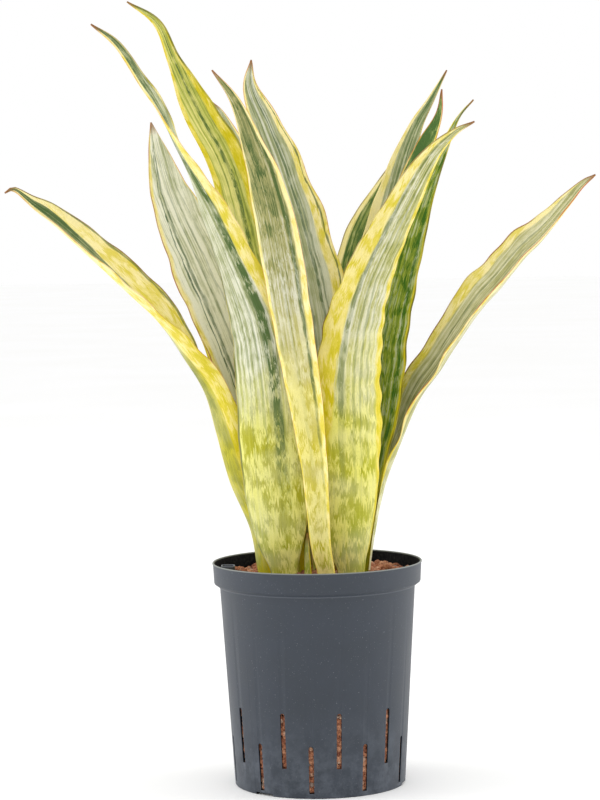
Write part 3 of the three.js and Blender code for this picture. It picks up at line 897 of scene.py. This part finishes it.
            (97, 19, 330, 24, -100, 50),
            (115, 22, 365, 10, -100, 45),
            (129, 25, 393, 3, -100, 40),
            (143, 28, 409, 1.2, -100, 40),
        ],
        "course": [
            (0, 0.1, 0.14, 0.55),
            (0.5, 0.08, 0.12, 0.5),
            (0.85, 0.1, 0.1, 0.5),
            (1, 0.4, 0.4, 0.4),
        ],
        "stripes": [
            (-0.74, 0.05, 0.8),
            (-0.5, 0.09, 0.9),
            (-0.25, 0.04, 0.7),
            (0.02, 0.06, 0.75),
            (0.22, 0.035, 0.7),
            (0.42, 0.05, 0.6),
            (0.68, 0.1, 0.95),
        ],
        "lines": [],
        "light": "#b9c09a",
        "middle": "#8f9c30",
        "dark": "#37610f",
        "pale": "#b8bd10",
        "deep": "#869604",
        "mottle": 120,
        "tone": 0.95,
        "fade": 0.3,
        "edge_low": 0,
        "edge_high": 1.2,
        "red": 0.1,
        "band": 0.22,
        "wave": 1,
        "nick": 0.02,
        "fold": 0,
        "fold_at": 0,
        "seed": 10,
    },
    "leaf_right_upright": {
        "stations": [
            (20, 30, -34, 20, -95, 120),
            (22, 32, 6, 22, -95, 110),
            (31, 38, 104, 33, -98, 85),
            (46, 47, 209, 41, -100, 65),
            (64, 58, 288, 39, -102, 55),
            (79, 69, 345, 26, -104, 50),
            (93, 76, 385, 14, -105, 45),
            (108, 81, 411, 7, -105, 40),
            (123, 84, 438, 1.2, -105, 40),
        ],
        "course": [
            (0, 0.4, 0.1, 0.25),
            (0.6, 0.5, 0.1, 0.28),
            (0.85, 0.35, 0.12, 0.5),
            (1, 0.4, 0.2, 0.7),
        ],
        "stripes": [
            (0.2, 0.07, 0.7),
            (0.55, 0.05, 0.6),
            (-0.1, 0.05, 0.5),
        ],
        "lines": [],
        "light": "#d6d6b6",
        "middle": "#a0a578",
        "dark": "#4c6a34",
        "pale": "#dad8a4",
        "deep": "#b0ad3c",
        "mottle": 80,
        "tone": 0.25,
        "fade": 0.3,
        "edge_low": 0,
        "edge_high": 0.8,
        "red": 0.3,
        "band": 0.08,
        "wave": 1.5,
        "nick": 0.05,
        "fold": 0,
        "fold_at": 0,
        "seed": 11,
    },
    "leaf_right_inner": {
        "stations": [
            (24, 13, -34, 20, -105, 120),
            (26, 15, 7, 22, -105, 110),
            (38, 20, 104, 29, -106, 85),
            (53, 29, 200, 34, -108, 65),
            (70, 39, 278, 32, -110, 55),
            (87, 47, 331, 26, -112, 50),
            (102, 53, 370, 17, -112, 45),
            (114, 57, 397, 7, -112, 40),
            (117, 59, 420, 1.2, -112, 40),
        ],
        "course": [
            (0, 0.08, 0.12, 0.7),
            (0.7, 0.08, 0.15, 0.75),
            (1, 0.15, 0.3, 0.85),
        ],
        "stripes": [
            (-0.1, 0.25, 0.4),
        ],
        "lines": [],
        "light": "#b4bf98",
        "middle": "#7f9450",
        "dark": "#4a6b30",
        "pale": "#dad8a4",
        "deep": "#b0ad3c",
        "mottle": 60,
        "tone": 0.6,
        "fade": 0.3,
        "edge_low": 0,
        "edge_high": 0,
        "red": 0.9,
        "band": 0.3,
        "wave": 1,
        "nick": 0.02,
        "fold": 0,
        "fold_at": 0,
        "seed": 12,
    },
    "leaf_right_rear": {
        "stations": [
            (6, 42, -34, 20, -90, 120),
            (9, 46, 5, 22, -90, 110),
            (19, 62, 102, 30, -92, 85),
            (28, 84, 199, 38, -94, 65),
            (43, 104, 279, 36, -96, 55),
            (61, 115, 319, 27, -98, 50),
            (81, 124, 356, 14, -100, 45),
            (93, 130, 383, 5, -100, 40),
            (99, 133, 397, 1.2, -100, 40),
        ],
        "course": [
            (0, 0.1, 0.1, 0.7),
            (0.6, 0.3, 0.1, 0.75),
            (1, 0.3, 0.2, 0.8),
        ],
        "stripes": [
            (0, 0.2, 0.8),
        ],
        "lines": [],
        "light": "#bfc092",
        "middle": "#8c9650",
        "dark": "#4a6630",
        "pale": "#dad8a4",
        "deep": "#b0ad3c",
        "mottle": 80,
        "tone": 0.15,
        "fade": 0.3,
        "edge_low": 0.8,
        "edge_high": 0,
        "red": 0.3,
        "band": 0.2,
        "wave": 1,
        "nick": 0.02,
        "fold": 0,
        "fold_at": 0,
        "seed": 13,
    },
    "leaf_far_right": {
        "stations": [
            (44, 22, -34, 22, -160, 120),
            (46, 24, 6, 26, -162, 120),
            (57, 26, 66, 36, -164, 115),
            (71, 25, 106, 41, -165, 115),
            (90, 19, 151, 46, -165, 118),
            (112, 11, 184, 49, -165, 120),
            (140, -1, 227, 51, -165, 120),
            (163, -11, 254, 48, -165, 118),
            (181, -19, 276, 43, -165, 115),
            (198, -26, 293, 34, -165, 105),
            (218, -35, 317, 21, -164, 90),
            (231, -41, 333, 9, -163, 65),
            (241, -46, 341, 1.2, -162, 40),
        ],
        "course": [
            (0, 0.25, 0.2, 0.5),
            (0.3, 0.28, 0.14, 0.5),
            (0.6, 0.36, 0.12, 0.3),
            (0.85, 0.3, 0.14, 0.3),
            (1, 0.3, 0.3, 0.5),
        ],
        "stripes": [
            (-0.28, 0.05, 0.6),
            (0.05, 0.04, 0.45),
            (0.3, 0.05, 0.5),
        ],
        "lines": [],
        "light": "#d6d2ac",
        "middle": "#a8a66c",
        "dark": "#5a6a34",
        "pale": "#dcd9b0",
        "deep": "#a5a34c",
        "mottle": 130,
        "tone": 0.35,
        "fade": 0.3,
        "edge_low": 0.9,
        "edge_high": 0,
        "red": 0.85,
        "band": 0.08,
        "wave": 1,
        "nick": 0.03,
        "fold": 1.5,
        "fold_at": 170,
        "seed": 14,
    },
    "leaf_sprout": {
        "stations": [
            (-8, -28, -34, 9, 60, 150),
            (-9, -27, 4, 8, 60, 140),
            (-9, -26, 22, 5, 60, 120),
            (-8, -26, 37, 1.2, 60, 60),
        ],
        "course": [
            (0, 0.3, 0.3, 0.4),
            (1, 0.3, 0.3, 0.5),
        ],
        "stripes": [
            (0, 0.3, 0.4),
        ],
        "lines": [],
        "light": "#cccbb0",
        "middle": "#a0a578",
        "dark": "#476030",
        "pale": "#c6c46a",
        "deep": "#9aa51a",
        "mottle": 60,
        "tone": 0.9,
        "fade": 0.3,
        "edge_low": 0,
        "edge_high": 0,
        "red": 0.2,
        "band": 0.08,
        "wave": 0,
        "nick": 0.02,
        "fold": 0,
        "fold_at": 0,
        "seed": 15,
    },
}
MARGIN_THICKNESS = 1.0
THICKNESS_PER_WIDTH = 0.06
ACROSS_STEPS = 30
ALONG_STEP = 3.5


def spline(values, steps):
    """A uniform Catmull-Rom curve through rows of values, steps to each span, with its slope."""
    rows = np.array(values, float)
    rows = np.vstack([2 * rows[0] - rows[1], rows, 2 * rows[-1] - rows[-2]])
    at, slope = [], []
    for i in range(1, len(rows) - 2):
        a, b, c, d = rows[i - 1 : i + 3]
        for t in np.arange(steps[i - 1]) / steps[i - 1]:
            square, cube = 2 * a - 5 * b + 4 * c - d, 3 * b - a - 3 * c + d
            at.append(0.5 * (2 * b + (c - a) * t + square * t**2 + cube * t**3))
            slope.append(0.5 * ((c - a) + 2 * square * t + 3 * cube * t**2))
    at.append(rows[-2])
    slope.append(0.5 * (rows[-1] - rows[-3]))
    return np.array(at), np.array(slope)


def ripple(along, seed, longest, shortest):
    """A smooth irregular wave between about -1 and 1 along the margin, from a few sines."""
    source = np.random.default_rng(1000 + seed)
    total = np.zeros(len(along))
    for _ in range(5):
        total += np.sin(2 * math.pi * along / source.uniform(shortest, longest) + source.uniform(0, 6.3))
    return total / 2.6


def leaf_mesh(name, leaf, skin):
    """A closed blade, swept along its stations, that carries its own places for the pattern."""
    stations = [(x, y, BED_TOP + z, w, h, c) for x, y, z, w, h, c in leaf["stations"]]
    spans = np.linalg.norm(np.diff(np.array(stations)[:, :3], axis=0), axis=1)
    steps = [max(3, int(math.ceil(span / ALONG_STEP))) for span in spans]
    at, slope = spline(stations, steps)
    centre, width, heading, channel = at[:, :3], np.maximum(at[:, 3], 1.0), at[:, 4], at[:, 5]
    tangent = slope[:, :3] / np.linalg.norm(slope[:, :3], axis=1)[:, None]
    turn = np.radians(heading)
    normal = np.stack([np.cos(turn), np.sin(turn), np.zeros(len(turn))], axis=1)
    normal -= tangent * np.sum(normal * tangent, axis=1)[:, None]
    normal /= np.linalg.norm(normal, axis=1)[:, None]
    side = np.cross(tangent, normal)
    along = np.concatenate([[0], np.cumsum(np.linalg.norm(np.diff(centre, axis=0), axis=1))])
    along -= np.interp(BED_TOP, centre[:40, 2], along[:40])
    length = along[-1]
    # The margins are calm near the granules and near the tip.
    free = np.clip(along / 120, 0, 1) * np.clip((length - along) / 60, 0, 1)
    # Once round the section: the inner face from margin to margin, then the outer face back.
    share = np.sin(np.linspace(-math.pi / 2, math.pi / 2, ACROSS_STEPS + 1))
    loop = [(s, 1) for s in share] + [(s, -1) for s in share[-2:0:-1]]
    s = np.array([a for a, _ in loop])
    face = np.array([f if abs(a) < 1 else 0 for a, f in loop])
    seed = leaf["seed"]
    low_wave = ripple(along, seed, 130, 30)
    high_wave = ripple(along, seed + 50, 130, 30)
    nick = ripple(along, seed + 90, 70, 22)
    around_fold = np.exp(-(((along - leaf["fold_at"]) / 75) ** 2))
    folding = leaf["fold"] * around_fold * (1 + 0.8 * ripple(along, seed + 20, 60, 35))
    half = width[:, None] / 2 * (1 + leaf["nick"] * nick[:, None] * np.sign(s) * free[:, None])
    bend = np.maximum(channel, 0.5)[:, None] * math.pi / 360
    angle = bend * s
    rounded = MARGIN_THICKNESS * np.sqrt(np.maximum(1 - np.abs(s) ** 40, 0))
    thick = (rounded + THICKNESS_PER_WIDTH * width[:, None] * (1 - s**2)) / 2
    thick = np.minimum(thick, 0.42 * width[:, None])
    offset = face * thick
    out = half * np.sin(angle) / bend - offset * np.sin(angle)
    up = half * (1 - np.cos(angle)) / bend + offset * np.cos(angle)
    margin = np.abs(s) ** 3
    sway = np.where(s > 0, high_wave[:, None], low_wave[:, None]) * leaf["wave"] * free[:, None]
    up += margin * (sway * np.minimum(1, width[:, None] / 40) - np.where(s > 0, folding[:, None], 0))
    crease = 0.25 * np.exp(-((s / 0.08) ** 2)) * free[:, None]
    up -= crease
    points = centre[:, None, :] + side[:, None, :] * out[..., None]
    points = points + normal[:, None, :] * up[..., None]
    rows, count = points.shape[:2]
    grid = points.reshape(-1, 3)
    faces = []
    for r in range(rows - 1):
        a, b = r * count, (r + 1) * count
        for k in range(count):
            n = (k + 1) % count
            faces.append((a + n, a + k, b + k, b + n))
    faces.append(tuple(range(count)))
    last = (rows - 1) * count
    faces.append(tuple(last + k for k in reversed(range(count))))
    piece = piece_from(name + "_blade", grid, faces, skin, [name])
    # blade: place across, length along, half width. reach: share of the length, face, length to the tip.
    carried = {
        "blade": (s, along[:, None], width[:, None] / 2),
        "reach": (along[:, None] / length, face, length - along[:, None]),
    }
    for kind, values in carried.items():
        values = np.stack([np.broadcast_to(value, (rows, count)) for value in values], axis=-1)
        attribute = piece.data.attributes.new(kind, "FLOAT_VECTOR", "POINT")
        attribute.data.foreach_set("vector", values.reshape(-1).astype(np.float32))


# Living leaf skin: a waxy cuticle with a soft sheen over fine lengthwise ribs. Its colour is laid in the
# order that it shows: middle, dark stripes, mottled base, margin bands, edge lines, horny tip.
CREAM, YELLOW, DEEP_YELLOW = "#f4e6a6", "#dccb4a", "#c9b90c"
# The dark green of the lines inside the margins is partly painted shade, on the margin's shaded side.
EDGE_GREEN_AND_SHADE, EDGE_RED, TIP_BROWN = "#36501c", "#b4583a", "#8b5a35"
FRESH_GREEN = "#8ca00a"


def leaf_skin(name, leaf):
    """The leaf's own skin, painted by the places that its blade carries."""
    skin, tree, shader = finish_of(
        name + "_cuticle", Roughness=0.45, IOR=1.42, Specular_IOR_Level=0.22, Subsurface_Weight=0.05,
        Subsurface_Radius=(1.0, 0.9, 0.3), Subsurface_Scale=0.002,
    )
    blade = add(tree, "SeparateXYZ", {0: add(tree, "Attribute", {}, attribute_name="blade")["Vector"]})
    reach = add(tree, "SeparateXYZ", {0: add(tree, "Attribute", {}, attribute_name="reach")["Vector"]})
    across, along, half = blade[0], blade[1], blade[2]
    out = add(tree, "Math", {0: across, 1: half}, operation="MULTIPLY")[0]
    where = add(tree, "CombineXYZ", {0: out, 1: along, 2: 31.7 * leaf["seed"]})[0]
    # Width and length in millimetres of the marks that each noise draws, its detail and its distortion.
    # The ribs pull the cross marks, the last three, up and down, so that their borders run ragged.
    marks = {
        "wobble": (60, 34, 1, 0), "rib": (0.9, 90, 2, 0), "streak": (2.4, 170, 2, 0),
        "frost": (0.7, 1.6, 2, 0), "drift": (30, 55, 1, 0), "ragged": (1.5, 22, 3, 0),
        "band": (13, 8, 3, 0.2), "blotch": (8, 11, 4, 0.2), "mottle": (11, 10, 4, 0.2),
    }
    mark = {}
    for kind, (wide, long, detail, distortion) in marks.items():
        scaled = add(tree, "VectorMath", {0: where, 1: (1 / wide, 1 / long, 1)}, operation="MULTIPLY")[0]
        noise = {"Vector": scaled, "Scale": 1.0, "Detail": float(detail), "Roughness": 0.6}
        mark[kind] = add(tree, "TexNoise", {**noise, "Distortion": distortion})[0]
        if kind == "ragged":
            pull = add(tree, "MapRange", {0: mark[kind], 1: 0.3, 2: 0.7, 3: -7.0, 4: 7.0})[0]
            pulled = add(tree, "Math", {0: along, 1: pull}, operation="ADD")[0]
            where = add(tree, "CombineXYZ", {0: out, 1: pulled, 2: 31.7 * leaf["seed"]})[0]
    stops = [(share, (low, high, green)) for share, low, high, green in leaf["course"]]
    course = add(tree, "SeparateColor", {0: add(tree, "ValToRGB", {0: reach[0]}, stops=stops)[0]})

    # Middle: silver to green, with lengthwise streaks and irregular cross-bands.
    rib = add(tree, "MapRange", {0: mark["rib"], 1: 0.3, 2: 0.7, 3: -0.08, 4: 0.08})[0]
    streak = add(tree, "MapRange", {0: mark["streak"], 1: 0.36, 2: 0.64, 3: -0.24, 4: 0.24})[0]
    band = add(tree, "MapRange", {0: mark["band"], 1: 0.4, 2: 0.6, 3: -leaf["band"], 4: leaf["band"]})[0]
    green = add(tree, "Math", {0: course[2], 1: rib}, operation="ADD")[0]
    green = add(tree, "Math", {0: green, 1: streak}, operation="ADD")[0]
    green = add(tree, "Math", {0: green, 1: band}, operation="ADD", use_clamp=True)[0]
    greens = [(0.1, leaf["light"]), (0.5, leaf["middle"]), (0.9, leaf["dark"])]
    colour = add(tree, "ValToRGB", {0: green}, stops=greens)[0]
    # Mottled base: a pale net on a deeper colour, fading out upwards, with a fresh green foot.
    fade = add(tree, "MapRange", {0: mark["drift"], 3: -45.0, 4: 45.0})[0]
    height = add(tree, "Math", {0: along, 1: fade}, operation="ADD")[0]
    limits = {1: leaf["mottle"] + 45, 2: max(leaf["mottle"] - 65, -60), 3: 0.0, 4: 0.97}
    based = add(tree, "MapRange", {0: height, **limits}, interpolation_type="SMOOTHSTEP")[0]
    net = add(tree, "MapRange", {0: mark["mottle"], 1: 0.45, 2: 0.54, 3: 0.0, 4: 1.0})[0]
    net = add(tree, "Math", {0: net, 1: streak}, operation="ADD", use_clamp=True)[0]
    patch = add(tree, "MapRange", {0: mark["wobble"], 1: 0.35, 2: 0.6, 3: 0.75, 4: 1.0})[0]
    based = add(tree, "Math", {0: based, 1: patch}, operation="MULTIPLY")[0]
    mottled = add(tree, "Mix", {0: net, 6: leaf["deep"], 7: leaf["pale"]}, data_type="RGBA")[2]
    foot = add(tree, "Mix", {0: net, 6: FRESH_GREEN, 7: leaf["pale"]}, data_type="RGBA")[2]
    near_granules = {0: height, 1: -20.0, 2: 75.0, 3: 0.5, 4: 0.0}
    fresh = add(tree, "MapRange", near_granules, interpolation_type="SMOOTHSTEP")[0]
    mottled = add(tree, "Mix", {0: fresh, 6: mottled, 7: foot}, data_type="RGBA")[2]
    colour = add(tree, "Mix", {0: based, 6: colour, 7: mottled}, data_type="RGBA")[2]
    # Dark stripes, each with a ragged border and broken by the cross-bands.
    sway = add(tree, "MapRange", {0: mark["wobble"], 3: -0.09, 4: 0.09})[0]
    shifted = add(tree, "Math", {0: across, 1: sway}, operation="ADD")[0]
    torn = add(tree, "MapRange", {0: mark["ragged"], 1: 0.3, 2: 0.7, 3: -0.035, 4: 0.035})[0]
    shifted = add(tree, "Math", {0: shifted, 1: torn}, operation="ADD")[0]
    above_base = {0: height, 1: leaf["mottle"] * 0.25, 2: leaf["mottle"] * 0.75 + 20, 3: 0.1, 4: 1.0}
    risen = add(tree, "MapRange", above_base)[0]
    for centre, width, strength in leaf["stripes"]:
        off = add(tree, "Math", {0: shifted, 1: centre}, operation="SUBTRACT")[0]
        off = add(tree, "Math", {0: off}, operation="ABSOLUTE")[0]
        stripe = {0: off, 1: width, 2: width * 0.45, 3: 0.0, 4: strength}
        on = add(tree, "MapRange", stripe, interpolation_type="SMOOTHSTEP")[0]
        gaps = {0: mark["band"], 1: 0.42, 2: 0.52, 3: max(0.2, 1 - 5 * width), 4: 1.0}
        broken = add(tree, "Math", {0: add(tree, "MapRange", gaps)[0], 1: risen}, operation="MULTIPLY")[0]
        on = add(tree, "Math", {0: on, 1: broken}, operation="MULTIPLY")[0]
        colour = add(tree, "Mix", {0: on, 6: colour, 7: leaf["dark"]}, data_type="RGBA")[2]
    # Margin bands, cream or yellow, whose inner border runs ragged along the ribs.
    ripeness = {0: reach[0], 1: 0.0, 2: 1.0, 3: leaf["tone"] + leaf["fade"], 4: leaf["tone"] - leaf["fade"]}
    yellow = add(tree, "MapRange", ripeness)[0]
    cloudy = add(tree, "MapRange", {0: mark["blotch"], 1: 0.4, 2: 0.6, 3: -0.3, 4: 0.3})[0]
    yellow = add(tree, "Math", {0: yellow, 1: cloudy}, operation="ADD", use_clamp=True)[0]
    creams = [(0.05, CREAM), (0.6, YELLOW), (1.0, DEEP_YELLOW)]
    margin_colour = add(tree, "ValToRGB", {0: yellow}, stops=creams)[0]
    for width, sign in ((course[0], -1.0), (course[1], 1.0)):
        toward = add(tree, "Math", {0: shifted, 1: sign}, operation="MULTIPLY")[0]
        border = {0: add(tree, "Math", {0: toward, 1: width}, operation="ADD")[0], 1: 0.96, 2: 1.06}
        on = add(tree, "MapRange", {**border, 3: 0.0, 4: 1.0}, interpolation_type="SMOOTHSTEP")[0]
        colour = add(tree, "Mix", {0: on, 6: colour, 7: margin_colour}, data_type="RGBA")[2]
    # Thin green lines within the margins.
    for centre, width, strength in leaf["lines"]:
        off = add(tree, "Math", {0: shifted, 1: centre}, operation="SUBTRACT")[0]
        off = add(tree, "Math", {0: off}, operation="ABSOLUTE")[0]
        line = {0: off, 1: width, 2: width * 0.4, 3: 0.0, 4: strength}
        on = add(tree, "MapRange", line, interpolation_type="SMOOTHSTEP")[0]
        colour = add(tree, "Mix", {0: on, 6: colour, 7: leaf["dark"]}, data_type="RGBA")[2]
    # Edge lines: dark green inside, partly painted shade on the margin's shaded side, and red-brown on the
    # very margin.
    inward = add(tree, "Math", {0: across}, operation="ABSOLUTE")[0]
    inward = add(tree, "Math", {0: inward, 1: -1.0}, operation="ADD")[0]
    inward = add(tree, "Math", {0: inward, 1: half}, operation="MULTIPLY")[0]
    patchy = add(tree, "MapRange", {0: mark["wobble"], 1: 0.35, 2: 0.6, 3: 0.3, 4: 1.0})[0]
    for sign, width in ((-1.0, leaf["edge_low"]), (1.0, leaf["edge_high"])):
        if width:
            near = add(tree, "Math", {0: across, 1: sign, 2: -1.0}, operation="MULTIPLY_ADD")[0]
            near = add(tree, "Math", {0: near, 1: half}, operation="MULTIPLY")[0]
            line = {0: near, 1: -width - 0.5, 2: -width + 0.3, 3: 0.0, 4: 0.8}
            line = add(tree, "MapRange", line, interpolation_type="SMOOTHSTEP")[0]
            on = add(tree, "Math", {0: line, 1: patchy}, operation="MULTIPLY")[0]
            colour = add(tree, "Mix", {0: on, 6: colour, 7: EDGE_GREEN_AND_SHADE}, data_type="RGBA")[2]
    line = {0: inward, 1: -0.85, 2: -0.25, 3: 0.0, 4: leaf["red"]}
    line = add(tree, "MapRange", line, interpolation_type="SMOOTHSTEP")[0]
    on = add(tree, "Math", {0: line, 1: patchy}, operation="MULTIPLY")[0]
    colour = add(tree, "Mix", {0: on, 6: colour, 7: EDGE_RED}, data_type="RGBA")[2]
    tip = add(tree, "MapRange", {0: reach[2], 1: 12.0, 2: 3.0, 3: 0.0, 4: 0.8})[0]
    colour = add(tree, "Mix", {0: tip, 6: colour, 7: TIP_BROWN}, data_type="RGBA")[2]
    bloom = add(tree, "MapRange", {0: mark["frost"], 1: 0.3, 2: 0.7, 3: 0.93, 4: 1.05})[0]
    bloom = add(tree, "CombineColor", {0: bloom, 1: bloom, 2: bloom})[0]
    colour = add(tree, "Mix", {0: 1.0, 6: colour, 7: bloom}, data_type="RGBA", blend_type="MULTIPLY")[2]
    tree.links.new(colour, shader["Base Color"])
    ridge = add(tree, "Math", {0: mark["rib"], 1: mark["frost"], 2: 0.3}, operation="MULTIPLY_ADD")[0]
    bump = add(tree, "Bump", {"Strength": 0.3, "Distance": 0.0003, "Height": ridge})[0]
    tree.links.new(bump, shader["Normal"])
    tree.links.new(add(tree, "MapRange", {0: mark["band"], 3: 0.34, 4: 0.52})[0], shader["Roughness"])
    return skin


for leaf_name, leaf in LEAVES.items():
    leaf_mesh(leaf_name, leaf, leaf_skin(leaf_name, leaf))


# --- Studio ------------------------------------------------------------------------------------------
# A plain pale floor under soft white light from all round, and a camera a little above the leaves'
# middle, tipped slightly down.
floor_skin, tree, shader = finish_of("matt_white_floor", Roughness=0.9)
place = add(tree, "TexCoord", {})["Object"]
haze = add(tree, "TexNoise", {"Vector": place, "Scale": 2.0, "Detail": 1.0})[0]
white = add(tree, "ValToRGB", {0: haze}, stops=[(0.3, "#fcfcfb"), (0.7, "#fefefe")])[0]
tree.links.new(white, shader["Base Color"])
bpy.ops.mesh.primitive_plane_add(size=40)
floor = bpy.context.object
floor.name = "floor"
floor.data.materials.append(floor_skin)

scene = bpy.context.scene
scene.world = bpy.data.worlds.new("studio")
scene.world.use_nodes = True
backdrop = scene.world.node_tree.nodes["Background"].inputs
backdrop["Color"].default_value = (1, 1, 1, 1)
backdrop["Strength"].default_value = 1.0
scene.view_settings.view_transform = "Standard"

# Where each softbox stands in metres, its side in metres and its power in watts.
LAMPS = {
    "left_softbox": ((-2.4, 0.1, 0.9), 1.8, 30),
    "right_softbox": ((2.4, 0.1, 0.9), 1.8, 26),
    "front_softbox": ((0.2, -3.2, 1.5), 2.2, 8),
}
for lamp_name, (spot, size, power) in LAMPS.items():
    lamp = bpy.data.objects.new(lamp_name, bpy.data.lights.new(lamp_name, "AREA"))
    lamp.data.size, lamp.data.energy = size, power
    lamp.location = spot
    aim = np.array([0, 0, 0.3]) - np.array(spot)
    tilt = math.acos(-aim[2] / np.linalg.norm(aim))
    lamp.rotation_euler = (tilt, 0, math.atan2(-aim[0], aim[1]))
    scene.collection.objects.link(lamp)

camera = bpy.data.objects.new("camera", bpy.data.cameras.new("camera"))
camera.data.lens = 124.1
camera.location = (-0.0127, -2.394, 0.492)
pitch, roll = math.radians(86.265), math.radians(-0.9)
camera.rotation_mode = "QUATERNION"
camera.rotation_quaternion = Quaternion((1, 0, 0), pitch) @ Quaternion((0, 0, 1), roll)
scene.collection.objects.link(camera)
scene.camera = camera
